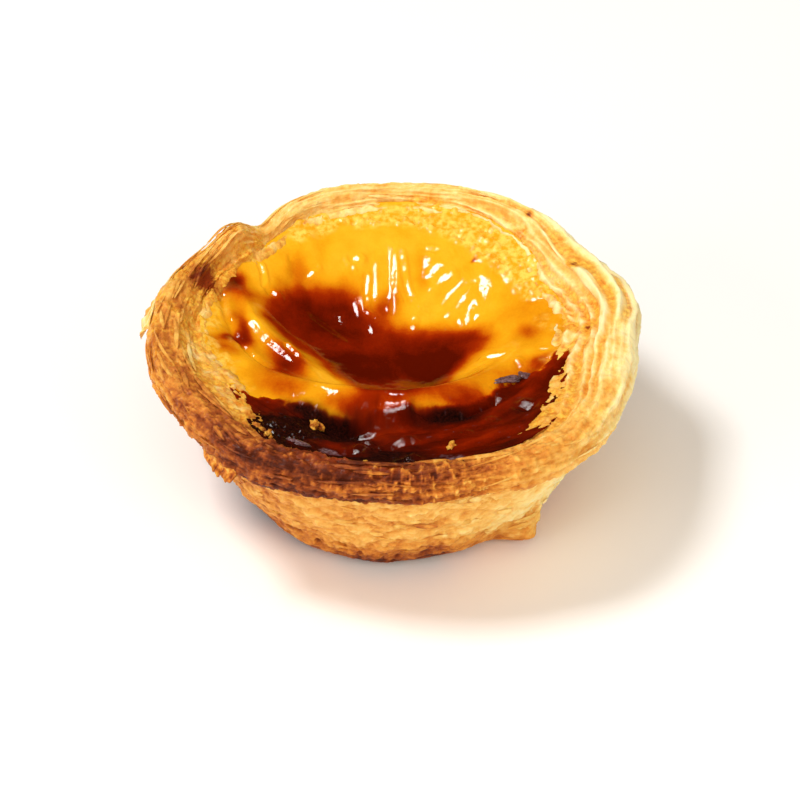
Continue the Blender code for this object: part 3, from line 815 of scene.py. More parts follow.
def rim_corners(theta):
    """A closed loop: under the lip, out, up over the rim, down the bare slope, and back inside. The
    slope ends raggedly, just above the custard, and further in where the crust hangs over it."""
    edge, top, lip = rim_radius(theta), rim_top(theta), lip_height(theta)
    inner = edge - rim_width(theta)
    ring = 30.0 * flat_place(np.cos(theta), np.sin(theta))
    cover = around(theta, 0.0, OVERHANGS)
    contact = contact_radius(theta) - 0.3 - 1.8 * cover - 0.9 * np.abs(crumble(ring, 3.0, 4, seed=35))
    level = smooth_height(contact * np.cos(theta), contact * np.sin(theta)) + 0.15 + 0.8 * cover
    corners = [both(edge - inwards, lip + up, theta) for inwards, up in LIP_HIDDEN + LIP_UNDERSIDE]
    corners.append(both(edge, lip + LIP_WIDEST * (top - lip), theta))
    corners += [both(edge - inwards, top - down, theta) for inwards, down in RIM_SHOULDER]
    corners.append(both(edge - 0.5 * rim_width(theta), top, theta))
    corners += [both(inner + outwards, top - down, theta) for outwards, down in RIM_INSIDE]
    for share in SLOPE_SHARES:
        sag = SLOPE_SAG * np.sin(np.pi * share) * (1.0 - 1.6 * cover)
        height = top - INNER_DROP + (level - top + INNER_DROP) * share - sag
        corners.append(both(inner + (contact - inner) * share, height, theta))
    corners.append(both(contact, level, theta))
    corners += [both(contact - inwards, level - down, theta) for inwards, down in UNDER_CUSTARD]
    corners.append(both(0.5 * (contact + edge) - 1.6, lip - 1.6, theta))
    return corners


RIM_HIDDEN = {0, 1, 13, 14, 15}  # the corners that the wall or the custard covers

# %% [markdown]
# ## The pastry: torn leaves
#
# The relief is added along the surface's own outward direction. Three kinds of unevenness lie on
# each other: broad lumps from the fingers that pressed the dough, leaves with torn edges, and fine
# crumb. A leaf's edge is a small cliff, and cells give just that: all of a cell has one height, and
# the height jumps at its border. The cells are stretched round the tart, because the layers run
# that way, and their borders are bent by noise, so that they look torn rather than cut.


# %% Coordinates that follow the pastry
def flow_space(theta, along, stretch):
    """A point's place on a tube round the tart, in mm, squeezed round the tart by the stretch, so
    that a pattern made there comes out longer round the tart than across its section."""
    squeezed = 35.0 / stretch
    return np.stack([squeezed * np.cos(theta), squeezed * np.sin(theta), along], axis=-1)


def section_length(points):
    """How far each row lies along the section, in mm, on average round the tart."""
    steps = np.linalg.norm(np.diff(points, axis=0), axis=-1).mean(axis=1)
    return np.concatenate([[0.0], np.cumsum(steps)])


def torn_leaves(space, size, seed):
    """(height, edge): overlapping leaves. Height is 0 to 1, the same all over a leaf, and jumps at
    its torn border, and edge is 1 right beside a border."""
    bend = 0.32 * size * np.stack([crumble(space, size * 0.7, 3, seed + k) for k in (1, 2, 3)], axis=-1)
    _, gap, lot = cells(space + bend, size, seed)
    return lot, ramp(0.22 - gap, 0.0, 0.22)


def layer_lines(along, space, pitch, seed):
    """Thin layers lying one on another across the section: a saw that climbs slowly and drops fast,
    its lines wandering and coming and going with noise. 0 where there are none."""
    wander = 1.5 * crumble(space, 5.0, 3, seed)
    phase = (along + wander) / pitch
    saw = phase - np.floor(phase)
    strength = ramp(crumble(space, 4.0, 2, seed + 5), -0.35, 0.45)
    return strength * (ramp(saw, 0.0, 0.78) - ramp(saw, 0.80, 1.0))


# %% The wall's surface
theta = np.linspace(0.0, 2.0 * np.pi, WALL_COLUMNS, endpoint=False)
corners = wall_corners(theta)
fineness = [0.25, 0.3, 1.0, 1.0] + [1.0] * 6 + [0.9, 0.25, 0.12, 0.12]  # from each corner to the next
LAST_SHOWN = 11.0  # corners past this one are hidden under the lip
places = even_places(corners, fineness, WALL_ROWS, closed=False)
smooth_wall = spun(theta, smooth_rows(corners, places, closed=False))
wall_out = grid_normals(smooth_wall, closed_rows=False)
shown = (places < LAST_SHOWN)[:, None] * ramp(smooth_wall[..., 2], 0.3, 4.5)  # the underside stays flat
along = section_length(smooth_wall)[:, None] + 0.0 * theta
turn = theta + 0.0 * along

# %% The wall's relief
wall_flow = flow_space(turn, along, 3.0)
short_space = flow_space(turn, along, 1.5)
leaf, leaf_edge = torn_leaves(flow_space(turn, along, 2.2), 1.5, seed=41)
small_leaf, _ = torn_leaves(short_space, 0.75, seed=47)
bend = 0.3 * crumble(smooth_wall, 1.5, 2, seed=49)[..., None]
near, _, lot = cells(short_space + bend, 2.4, seed=51)
holes = ramp(0.34 - near, 0.0, 0.20) * (lot > 0.66)
lumps = crumble(smooth_wall, 9.0, 2, seed=53)
crumb = crumble(smooth_wall, 2.4, 5, seed=55, keep=0.6)
wall_relief = 0.50 * lumps + 0.22 * (leaf - 0.5) + 0.16 * (small_leaf - 0.5) - 0.06 * leaf_edge
wall_relief += 0.36 * crumb - 0.60 * holes
wall = smooth_wall + wall_out * (wall_relief * shown)[..., None]
print("the wall's relief spans", np.ptp(wall_relief).round(2), "mm")

# %% How brown the wall is, with painted light and shade on its relief
# 0 is raw cream, 0.35 pale gold, 0.55 golden, 0.75 brown and 1 nearly black.
# The lobe at 318 degrees makes the wall's front right paler: partly its pale flaky corner, and partly painted
# light where that side is lit.
WALL_TOAST_AND_LIGHT = [(222, 26, 0.07), (318, 24, -0.22), (0, 50, -0.14), (180, 40, 0.10), (90, 60, 0.05)]
LOW_TOAST = [(238, 26, -0.20), (278, 16, 0.08)]  # only on the lower part of the wall
height_up = wall[..., 2] / LIP_HEIGHT
wall_toast_and_shading = 0.48 + 0.34 * ramp(0.44 - height_up, 0.0, 0.34) + 0.11 * ramp(0.13 - height_up, 0.0, 0.11)
wall_toast_and_shading += around(theta, 0.0, WALL_TOAST_AND_LIGHT)
wall_toast_and_shading += around(theta, 0.0, LOW_TOAST) * ramp(0.40 - height_up, 0.0, 0.30)
# Painted light and shade: raised leaves and crumbs are made paler, as if lit, and the holes darker, as if
# shaded, on top of the random tone.
wall_toast_and_shading += 0.10 * crumble(wall, 6.0, 3, seed=57) + 0.10 * (0.5 - leaf) + 0.14 * holes
wall_toast_and_shading += 0.10 * (0.5 - small_leaf) + 0.10 * crumble(wall, 1.4, 3, seed=59) - 0.10 * crumb
print("the wall is from", wall_toast_and_shading.min().round(2), "to", wall_toast_and_shading.max().round(2), "brown")


# %% Build the wall
def cup_mesh(name, grid, low, high, marks):
    """A closed piece from an open grid, with a pole under its first row and over its last."""
    rows, columns = grid.shape[:2]
    ring = np.arange(columns)
    points = np.concatenate([grid.reshape(-1, 3), [[0.0, 0.0, low], [0.0, 0.0, high]]])
    quads = grid_faces(rows, columns, closed_rows=False)
    under = pole_faces(ring, rows * columns, ring_first=False)
    over = pole_faces(ring + (rows - 1) * columns, rows * columns + 1, ring_first=True)
    whole = {}
    for mark, values in marks.items():
        poles = np.zeros((2, *values.shape[2:]))
        whole[mark] = np.concatenate([values.reshape(rows * columns, *values.shape[2:]), poles])
    return mesh_object(name, points, quads, np.concatenate([under, over]), whole)


nothing = 0.0 * wall_toast_and_shading
crust_wall = cup_mesh(
    "crust_wall", wall, 0.0, FLOOR_THICKNESS,
    {"toast_and_shading": wall_toast_and_shading, "flow": wall_flow, "custard_stain": nothing, "glaze": nothing},
)
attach(crust_wall, "root")
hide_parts("pastry_case")

# %% [markdown]
# ## The rim
#
# The rim is where the baker's thumbs folded the dough over, so it shows the leaves edge on. On the
# right it is thick and pale, and the edges swell into rounded cords that run round it. The front
# stood nearest to the heat: it is brown and crumbly, with upright flecks. On the left the dough was
# drawn out into strands.
#
# One pattern all the way round would look like a machine's work. So each look has its own pattern,
# and a **side** tells how much of it shows at each angle: a few lobes, 1 in its own direction and 0
# elsewhere. Sculpting by hand would be the other way, but it couldn't be read or changed later.

# %% The rim's surface and its sides
theta = np.linspace(0.0, 2.0 * np.pi, RIM_COLUMNS, endpoint=False)
corners = rim_corners(theta)
fineness = [0.2 if {i, (i + 1) % len(corners)} & RIM_HIDDEN else 1.0 for i in range(len(corners))]
places = even_places(corners, fineness, RIM_ROWS, closed=True)
corner = places[:, None]  # each row's place, counted in corners along the section
smooth_rim = spun(theta, smooth_rows(corners, places, closed=True))
rim_out = grid_normals(smooth_rim, closed_rows=True)
shown = ramp(corner, 1.2, 2.2) * ramp(13.2 - corner, 0.0, 0.8)
along = section_length(smooth_rim)[:, None] + 0.0 * theta
turn = theta + 0.0 * along

pale_side = around(theta, 0.0, [(8, 44, 1.0), (75, 40, 0.5)])
brown_side = around(theta, 0.0, [(262, 46, 1.0), (214, 20, 0.4), (138, 10, 0.4)])
strand_side = around(theta, 0.0, [(178, 40, 1.0), (125, 16, 0.6), (235, 20, 0.4)])
fleck_side = around(theta, 0.0, [(284, 20, 1.0), (250, 30, 0.45)])
puffed_side = lobe(theta, 198.0, 24.0)  # the slope on the left is puffed up into soft lumps
print("the rim's section is", along[-1, 0].round(1), "mm long")

# %% Patterns on the rim
CORD_LEVEL = 0.36  # the mean height of the cords, so that they neither swell nor shrink the rim


def cords(along, space, pitch, seed):
    """Rounded layer edges across the section: a squared cosine wave of the distance along it, which
    wanders and comes and goes with noise. 1 on a cord and 0 between two."""
    wander = 1.9 * crumble(space, 6.0, 3, seed)
    wave = 0.5 + 0.5 * np.cos(2.0 * np.pi * (along + wander) / pitch)
    strength = ramp(crumble(space, 5.0, 2, seed + 5), -0.7, 0.1)
    return CORD_LEVEL + (wave**2.0 - CORD_LEVEL) * strength


rim_flow, short_space = flow_space(turn, along, 4.5), flow_space(turn, along, 1.6)
cord_space = flow_space(turn, along, 4.6)
cord = cords(along, cord_space, 1.8, seed=69)
thin_cord = cords(along, cord_space, 0.9, seed=119)
lines = layer_lines(along, rim_flow, 1.25, seed=61)
fine_lines = layer_lines(along, rim_flow, 0.6, seed=67)
strand, _ = torn_leaves(flow_space(turn, along, 10.0), 1.15, seed=73)
leaf, leaf_edge = torn_leaves(flow_space(turn, along, 3.0), 1.3, seed=71)
small_leaf, _ = torn_leaves(short_space, 0.75, seed=77)
crumb = crumble(smooth_rim, 1.5, 4, seed=79, keep=0.6)
# The flecks' pattern is squeezed across the section instead, so that they stand upright.
flecks = ramp(crumble(flow_space(turn, 0.45 * along, 1.0), 0.8, 3, seed=117), 0.24, 0.56)
flecks = flecks * fleck_side

# %% The rim's relief
rough = np.clip(1.0 - 0.85 * pale_side - 0.45 * strand_side, 0.1, 1.0)
rim_relief = 0.42 * crumble(smooth_rim, 8.0, 3, seed=81) + 0.26 * (lines - 0.3) * rough
rim_relief += pale_side * (0.84 * (cord - CORD_LEVEL) + 0.20 * (thin_cord - CORD_LEVEL)) + 0.20 * flecks
rim_relief += 0.55 * strand_side * (strand - 0.5)
rim_relief += 0.10 * fine_lines * rough + 0.30 * rough * (leaf - 0.5)
rim_relief += (0.16 + 0.14 * brown_side) * rough * (small_leaf - 0.5) - 0.05 * leaf_edge * rough
rim_relief += (0.10 + 0.22 * brown_side) * crumb
lumps = np.abs(crumble(smooth_rim, 2.6, 2, seed=125))
rim_relief += 0.40 * puffed_side * ramp(corner, 8.0, 10.0) * lumps
rim = smooth_rim + rim_out * (rim_relief * shown)[..., None]
print("the rim's relief spans", np.ptp(rim_relief).round(2), "mm")

# %% [markdown]
# ### How the rim is coloured
#
# Three numbers on each vertex colour the rim. Toast is how brown it is, and it follows the heat, the
# sides and the relief. On the relief it also holds painted light and shade: what stands up is made
# paler, as if lit, and the gaps between leaves, cords and strands darker, as if shaded. The stain
# is custard that boiled over the slope, and the glaze is butter and syrup, which shine. They are
# mixed from the same sides and patterns as the relief, so that colour and shape belong together.

# %% How brown the rim is, with painted light and shade on its relief
FACE_TOAST = [
    (267, 36, 0.42), (232, 24, 0.26), (195, 22, 0.25), (165, 16, 0.18), (138, 10, 0.10),
    (120, 14, -0.06), (324, 20, 0.05), (0, 46, -0.20), (80, 40, -0.12),
]
lip, top = lip_height(theta), rim_top(theta)
upwards = np.clip((rim[..., 2] - lip) / (top - lip), -0.2, 1.2)  # 0 under the lip and 1 at the top
on_slope = ramp(corner, 9.0, 10.2)
on_face = ramp(7.0 - corner, 0.0, 1.5)
front = lobe(theta, 258.0, 44.0)

rim_toast_and_shading = 0.38 + around(theta, 0.0, FACE_TOAST) * (0.80 + 0.20 * on_face)
rim_toast_and_shading += front * (0.14 * bell(upwards, 0.10, 0.16) - 0.04 * bell(upwards, 0.55, 0.2))
rim_toast_and_shading += on_slope * (0.20 * front - 0.06) + front * 0.16 * ramp(upwards, 0.6, 0.95)
rim_toast_and_shading -= 0.12 * lobe(theta, 20.0, 55.0) * ramp(upwards, 0.3, 0.8) * on_face
rim_toast_and_shading += on_slope * (0.12 * lobe(theta, 326.0, 24.0) - 0.14 * lobe(theta, 211.0, 16.0))
rim_toast_and_shading -= 0.22 * on_slope * lobe(theta, 190.0, 22.0) + 0.16 * pale_side * on_face
rim_toast_and_shading += (0.10 - 0.05 * brown_side) * crumble(rim, 5.0, 3, seed=83)
rim_toast_and_shading += (0.10 - 0.01 * brown_side) * crumble(rim, 1.1, 3, seed=85)
# Painted light and shade: where small leaves, crumb, cords, flecks, strands and layer lines stand up, the rim
# is made paler, as if lit, and darker between them, as if shaded.
rim_toast_and_shading += 0.12 * brown_side * (0.5 - small_leaf) - 0.08 * brown_side * crumb
rim_toast_and_shading += pale_side * (0.36 * (CORD_LEVEL - cord) + 0.16 * (CORD_LEVEL - thin_cord)) - 0.18 * flecks
rim_toast_and_shading += 0.16 * strand_side * (0.5 - strand) + 0.08 * (0.4 - lines) * rough
# On the left the pale slope starts further out than elsewhere.
puffed = puffed_side * ramp(corner, 7.4, 9.2)
rim_toast_and_shading -= 0.19 * puffed * (0.75 + 0.9 * crumble(rim, 3.0, 2, seed=123))
rim_toast_and_shading += on_slope * 0.5 * lobe(theta, 196.0, 26.0) * crumble(rim, 2.2, 3, seed=113)

# %% Burnt specks on the rim
# Little burnt specks: (angle in degrees, corner along the section, half size in mm, amount).
SPECKS = [
    (52.1, 7.27, 0.6, 0.7), (5.2, 9.95, 0.7, 0.5), (356.2, 9.65, 0.6, 0.4), (28.5, 7.9, 0.9, 0.3),
    (14.2, 11.2, 0.5, 0.4),
]
SPECK_RADIUS, CORNER_MM = 33.0, 1.6  # how far out the specks lie, and about how far apart corners are
for at, at_corner, size, amount in SPECKS:
    sideways = SPECK_RADIUS * np.radians((np.degrees(turn) - at + 180.0) % 360.0 - 180.0)
    rim_toast_and_shading += amount * bell(sideways, 0.0, size) * bell(CORNER_MM * (corner - at_corner), 0.0, size)
print("the rim is from", rim_toast_and_shading.min().round(2), "to", rim_toast_and_shading.max().round(2), "brown")

# %% Custard, butter and syrup on the rim
BOILED_OVER = [
    (176, 34, 1.0), (208, 16, 0.8), (326, 16, 0.9), (264, 30, 0.9), (2, 40, 1.1), (140, 14, 0.9),
    (100, 40, 0.6),
]
# A few gaps between the leaves show the custard: (angle, corner) and half sizes in the same units.
CUSTARD_GAPS = [
    ((80.5, 9.9), (5.5, 0.45)), ((51.4, 9.8), (2.8, 0.5)), ((28.9, 8.4), (2.4, 0.4)),
    ((15.0, 11.4), (4.6, 0.4)), ((7.0, 9.85), (6.0, 0.3)),
]


def rim_patch(at, size, waver):
    """1 at an (angle, corner) of the rim, falling off over half sizes in the same units, with a
    border that a noise makes waver."""
    return spot(np.degrees(turn), corner + waver, at, size)


blotches = 0.55 + 1.5 * crumble(rim, 2.6, 4, seed=87)
stain = ramp(corner, 8.0, 12.0) * around(theta, 0.0, BOILED_OVER) * blotches
stain = np.clip(stain + 0.50 * around(theta, 0.0, [(172, 34, 1.0), (138, 12, 1.0)]) * blotches, 0.0, 1.0)
# On the right, custard shows through small round windows in the slope.
near, _, lot = cells(short_space, 3.0, seed=91)
windows = lobe(theta, 2.0, 22.0) * on_slope * ramp(0.40 - near, 0.0, 0.10) * (lot > 0.35)
stain = np.clip(stain + windows, 0.0, 1.0)
rim_toast_and_shading += 0.30 * windows
# Syrup soaked the crest of the front and left it a smooth red-brown.
syrup = rim_patch((262.0, 7.9), (15.0, 1.3), 0.6 * crumble(rim, 3.0, 2, seed=127))
stain = np.clip(stain + 0.55 * puffed + 0.75 * syrup, 0.0, 1.0)
rim_toast_and_shading += 0.09 * syrup
waver = 0.6 * crumble(rim, 1.6, 3, seed=111)
for at, size in CUSTARD_GAPS:
    gap = rim_patch(at, size, waver)
    stain = np.clip(stain + 1.2 * gap, 0.0, 1.0)
    rim_toast_and_shading += 0.25 * gap
# Butter soaked a dark patch beside the raised corner, and custard shows between the cords.
soaked_patch = rim_patch((154.6, 10.2), (5.6, 2.9), 0.5 * crumble(rim, 2.0, 3, seed=115))
rim_toast_and_shading += 0.56 * soaked_patch
between_cords = 3.0 * pale_side * np.maximum(0.30 - cord, 0.0)
stain = np.clip(stain + 1.3 * soaked_patch + between_cords, 0.0, 1.0)
glaze = 0.35 * pale_side + 0.3 * strand_side + 0.6 * stain + 0.2 * crumble(rim, 2.0, 2, seed=89)
glaze = np.clip(glaze, 0.0, 1.0)
print("custard stains", (100.0 * (stain > 0.5).mean()).round(1), "% of the rim's points")

# %% Build the rim
crust_rim = mesh_object(
    "crust_rim", rim.reshape(-1, 3), grid_faces(RIM_ROWS, RIM_COLUMNS, closed_rows=True),
    marks={
        "toast_and_shading": rim_toast_and_shading.ravel(), "flow": rim_flow.reshape(-1, 3),
        "custard_stain": stain.ravel(), "glaze": glaze.ravel(),
    },
)
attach(crust_rim, "root")

# %% [markdown]
# ## Loose leaves
#
# Here and there a leaf of pastry has come away from the rest along one edge. Relief can't show that,
# because it only moves a surface in and out, so the leaves are thin closed strips of their own.
# They could be copies of one leaf, but a copy lies flat, while these follow the crust under them:
# each corner is looked up on the smooth wall or rim. All leaves of one kind are one mesh.
#
# One helper makes every small piece: a strip is a stack of closed loops with a point at each end.


# %% Closed strips
def strips(name, loops, tips, marks):
    """One mesh of many closed strips. Loops has the shape (strip, row, around, 3), and tips holds
    the two end points of each strip. The faces are turned so that they look outwards."""
    count, rows, sides = loops.shape[:3]
    ring = np.arange(sides)
    quads = grid_faces(rows, sides, closed_rows=False)
    ends = [pole_faces(ring, rows * sides, ring_first=False)]
    ends.append(pole_faces(ring + (rows - 1) * sides, rows * sides + 1, ring_first=True))
    ends = np.concatenate(ends)
    step = (rows * sides + 2) * np.arange(count)[:, None, None]
    quads, ends = (quads[None] + step).reshape(-1, 4), (ends[None] + step).reshape(-1, 3)
    points = np.concatenate([loops.reshape(count, -1, 3), tips], axis=1)
    centred = (points - points.mean(axis=1, keepdims=True)).reshape(-1, 3)
    a, b, c, d = (centred[quads[:, k]] for k in range(4))
    if (np.cross(c - a, d - b) * (a + b + c + d)).sum() < 0.0:
        quads, ends = quads[:, ::-1], ends[:, ::-1]
    spread = {}
    for mark, values in marks.items():
        tail = np.zeros((count, 2, 3)) if values.ndim == 4 else values[:, [0, -1], 0]
        spread[mark] = np.concatenate([values.reshape(count, rows * sides, *values.shape[3:]), tail], axis=1)
    spread = {k: v.reshape(-1, 3) if v.ndim == 3 else v.ravel() for k, v in spread.items()}
    piece = mesh_object(name, points.reshape(-1, 3), quads, ends, spread)
    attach(piece, "root")
    return piece


def look_up(grid, row, column):
    """The grid's value at fractional row and column numbers, blended from the four around it."""
    r = np.clip(np.floor(row).astype(int), 0, grid.shape[0] - 2)
    c = np.floor(column).astype(int)
    tail = (...,) + (None,) * (grid.ndim - 2)
    up, across = (row - r)[tail], (column - c)[tail]
    c, after = c % grid.shape[1], (c + 1) % grid.shape[1]
    near = grid[r, c] * (1.0 - across) + grid[r, after] * across
    far = grid[r + 1, c] * (1.0 - across) + grid[r + 1, after] * across
    return near * (1.0 - up) + far * up


# %% Leaves on the crust
LEAF_ROWS, LEAF_SIDES = 15, 10
LEAF_HALF = 0.10  # half a leaf's thickness, and how high its middle lies, so that it touches the crust


def crust_leaves(name, grid, normals, toast_and_shading, row, angle, long, wide, turned, lift, shade):
    """Lens-shaped leaves lying on a crust. Each has a row and an angle for its middle, half sizes in
    mm, a turn in degrees, a lift for its free edge, and how much browner it is than the crust. A loop
    is a flat ellipse across the leaf, and its free side rises with the square of its share."""
    columns = grid.shape[1]
    lengths = section_length(grid)
    row_mm = np.interp(row, np.arange(len(lengths) - 1) + 0.5, np.diff(lengths))
    column = np.radians(angle) / (2.0 * np.pi) * columns
    middle = look_up(grid, row, column)
    column_mm = 2.0 * np.pi * np.hypot(middle[:, 0], middle[:, 1]) / columns
    t = np.linspace(-0.96, 0.96, LEAF_ROWS)[None, :, None]
    s = np.linspace(0.0, 2.0 * np.pi, LEAF_SIDES, endpoint=False)[None, None, :]
    sizes = (row, column, row_mm, column_mm, long, wide, turned, lift, shade)
    row, column, row_mm, column_mm, long, wide, turned, lift, shade = (v[:, None, None] for v in sizes)
    ragged = 1.0 + 0.30 * noise(np.stack(np.broadcast_arrays(3.0 * t, column, row), axis=-1), 1.0, seed=93)
    width = wide * (1.0 - t**2) ** 0.7 * ragged
    free, across = 0.5 + 0.5 * np.cos(s), width * np.cos(s)
    height = LEAF_HALF * np.sin(s) * (1.0 - t**2) ** 0.5
    height = height + lift * free**2 * (1.0 - 0.5 * t**2) + LEAF_HALF
    c, d = np.cos(np.radians(turned)), np.sin(np.radians(turned))
    rows = row + (across * c + long * t * d) / row_mm
    columns_at = column + (long * t * c - across * d) / column_mm
    loops = look_up(grid, rows, columns_at) + look_up(normals, rows, columns_at) * height[..., None]
    tips = loops[:, [0, -1]].mean(axis=2)
    brown = look_up(toast_and_shading, rows, columns_at) + shade + 0.10 * free**6 + 0.05 * np.abs(t) ** 4
    space = np.stack(np.broadcast_arrays(long * t / 3.0, across, row + 0.0 * across), axis=-1)
    none = np.zeros(loops.shape[:3])
    marks = {"toast_and_shading": brown, "flow": space, "custard_stain": none, "glaze": none + 0.15}
    return strips(name, loops, tips, marks)


def between(low, high, count):
    return low + (high - low) * dice.random(count)


WALL_LEAVES = 150
wall_leaves = crust_leaves(
    "wall_leaves", smooth_wall, wall_out, wall_toast_and_shading,
    row=between(36.0, 96.0, WALL_LEAVES), angle=between(0.0, 360.0, WALL_LEAVES),
    long=between(0.7, 2.0, WALL_LEAVES), wide=-between(0.2, 0.5, WALL_LEAVES),
    turned=between(-24.0, 24.0, WALL_LEAVES), lift=between(0.10, 0.40, WALL_LEAVES),
    shade=between(-0.12, 0.08, WALL_LEAVES),
)
RIM_LEAVES = [(120.0, 235.0, 80), (235.0, 320.0, 27), (60.0, 120.0, 13)]  # (from, to, how many)
rim_angle = np.concatenate([between(*some) for some in RIM_LEAVES])
count = len(rim_angle)
rim_leaves = crust_leaves(
    "rim_leaves", smooth_rim, rim_out, rim_toast_and_shading,
    row=between(10.0, 70.0, count), angle=rim_angle,
    long=between(1.6, 5.0, count), wide=between(0.12, 0.32, count),
    turned=between(-10.0, 10.0, count), lift=between(0.08, 0.35, count),
    shade=between(-0.16, 0.02, count),
)

# %% [markdown]
# ## Peeled leaves
#
# On the left, two leaves of pastry came loose when the tart left its tin, and they hang outside the
# rim with their lower edges torn to strands. Pulling them out of the rim's own mesh would stretch
# it, so each is a sheet with two faces: a closed strip whose rows follow the rim, and whose loops go
# down the outside of the sheet and up its back. Noise along the rim tears the lower edge.

# %% Peeled leaves
# (first and last angle in degrees, how far below the rim's top it hangs from, drop, flare and fringe
# in mm, how brown it is, and how many strands it is torn to).
PEELS = [(150.0, 178.0, 0.9, 3.0, 1.9, 3.6, 0.24, 14.0), (221.0, 234.0, 3.6, 1.4, 1.5, 0.6, 0.58, 9.0)]
PEEL_ROWS, PEEL_DEPTH = 190, 16
PEEL_LIMIT = 38.2  # the leaves are pressed in where they would reach further to the left than this
share = np.linspace(0.0, 1.0, PEEL_ROWS)[:, None]
downwards = np.linspace(0.0, 1.0, PEEL_DEPTH)
down = np.concatenate([downwards, downwards[::-1]])[None, :]
inner = np.concatenate([np.zeros(PEEL_DEPTH), np.ones(PEEL_DEPTH)])[None, :]
body = ramp(share, 0.0, 0.20) * ramp(1.0 - share, 0.0, 0.04)  # 0 where the leaf is still held
peels, peel_toasts = [], []
for k, (first, last, below, drop, flare, fringe, brown, strands) in enumerate(PEELS):
    turn = np.radians(first + (last - first) * share)
    torn = crumble(np.stack([share * strands, 40.0 * k + 0.0 * share, 0.0 * share], axis=-1), 1.0, 3, seed=95)
    fringe = fringe * ramp(share, 0.2, 0.7) * ramp(1.0 - share, 0.0, 0.22) * np.clip(0.45 + torn, 0.0, 1.0)
    length = body * (drop + fringe + 0.4 * torn)
    wave = 0.25 * np.sin(2.6 * np.pi * down) * (1.0 - 0.5 * share)
    out = body * down * (0.35 * flare + 0.65 * flare * ramp(share, 0.10, 0.70) + wave)
    radius = rim_radius(turn) + out - 0.10 - 0.20 * inner * body
    radius = radius - 0.9 * np.maximum(radius * np.abs(np.cos(turn)) - PEEL_LIMIT, 0.0)
    height = rim_top(turn) - below - 0.8 * (1.0 - body) - np.maximum(length, 0.4) * down
    peels.append(np.stack([radius * np.cos(turn), radius * np.sin(turn), height], axis=-1))
    place = np.stack(np.broadcast_arrays(share * 9.0, down * 3.0, 9.0 * k), axis=-1)
    peel_toasts.append(brown + 0.16 * down + 0.30 * crumble(place, 1.0, 3, seed=97))
peels, peel_toasts = np.stack(peels), np.stack(peel_toasts)
print("the peeled leaves reach x =", peels[..., 0].min().round(2), "mm")
peel_flow = np.stack(np.broadcast_arrays(share * 14.0, down * 2.0, 0.0), axis=-1)
none = np.zeros(peel_toasts.shape)
peeled_leaf = strips(
    "peeled_leaf", peels, peels[:, [0, -1]].mean(axis=2),
    {
        "toast_and_shading": peel_toasts, "flow": np.stack([peel_flow] * len(PEELS)),
        "custard_stain": none, "glaze": none + 0.4,
    },
)

# %% [markdown]
# ## Crumbs and flakes of char
#
# A few crumbs fell on the custard while its skin was still wet, and burnt skin broke off in thin
# flakes. Particles could scatter them, but there are only a handful, and where they lie is part of
# how this tart looks. So each is a ball, squashed to three half sizes and roughened by noise, and
# pressed a little into the skin.


# %% Lumps on the custard
LUMP_ROWS, LUMP_SIDES = 12, 20


def lumps_at(name, places, sizes, turns, rough, seed, marks):
    """Uneven lumps on the custard's skin. Places are (x, y, height over the skin), sizes are half
    sizes in mm, and turns are degrees. Each mark is a function of the lumps' points."""
    places, sizes, turns = (np.array(v, float) for v in (places, sizes, turns))
    tilt = np.linspace(0.0, np.pi, LUMP_ROWS + 2)[1:-1][None, :, None]
    way = np.linspace(0.0, 2.0 * np.pi, LUMP_SIDES, endpoint=False)[None, None, :]
    ball = [np.sin(tilt) * np.cos(way), np.sin(tilt) * np.sin(way), np.cos(tilt)]
    ball = np.repeat(np.stack(np.broadcast_arrays(*ball), axis=-1), len(places), axis=0)
    apart = 9.0 * np.arange(len(places))[:, None, None, None]
    ball = ball * (1.0 + rough * crumble(ball + apart, 0.8, 3, seed))[..., None] * sizes[:, None, None, :]
    c, d = (f(np.radians(turns))[:, None, None] for f in (np.cos, np.sin))
    x, y = ball[..., 0] * c - ball[..., 1] * d, ball[..., 0] * d + ball[..., 1] * c
    x, y = x + places[:, None, None, 0], y + places[:, None, None, 1]
    # The skin leans at the fold, so a lump is moved by as much as the skin under it.
    under, *_ = skin_point(places[:, 0], places[:, 1])
    moved = under - flat_place(places[:, 0], places[:, 1])
    loops = np.stack([x, y, ball[..., 2] + places[:, None, None, 2]], axis=-1) + moved[:, None, None, :]
    tips = np.stack([loops[:, 0].mean(axis=1), loops[:, -1].mean(axis=1)], axis=1)
    return strips(name, loops, tips, {mark: values(loops) for mark, values in marks.items()})


def evenly(level):
    """A mark that is the same all over a lump."""
    return lambda p: level + 0.0 * p[..., 0]


# %% Crumbs and flakes of char
EDGE_CRUMBS = 4  # small ones along the front, besides the three that are listed
around_front = np.radians(between(228.0, 285.0, EDGE_CRUMBS))
crumb_radius = contact_radius(around_front) - between(0.2, 1.6, EDGE_CRUMBS)
extra = np.stack([crumb_radius * np.cos(around_front), crumb_radius * np.sin(around_front)], axis=-1)
crumb_places = np.concatenate([[(-11.5, -16.9), (-10.8, -15.4), (8.6, -23.6)], extra])
crumb_sizes = [(0.7, 1.3, 0.6), (0.6, 1.1, 0.7), (0.5, 0.9, 0.4)]
crumb_sizes = np.concatenate([crumb_sizes, between(0.15, 0.45, (EDGE_CRUMBS, 3))])
pastry_crumbs = lumps_at(
    "pastry_crumbs", np.column_stack([crumb_places, 0.3 * crumb_sizes[:, 2]]), crumb_sizes,
    np.concatenate([[-8, 30, -20], np.degrees(around_front) + 90.0]), 0.85, 99,
    {
        "toast_and_shading": lambda p: 0.70 + 0.30 * crumble(p, 1.0, 2, seed=101), "flow": lambda p: p,
        "custard_stain": evenly(0.55), "glaze": evenly(0.5),
    },
)
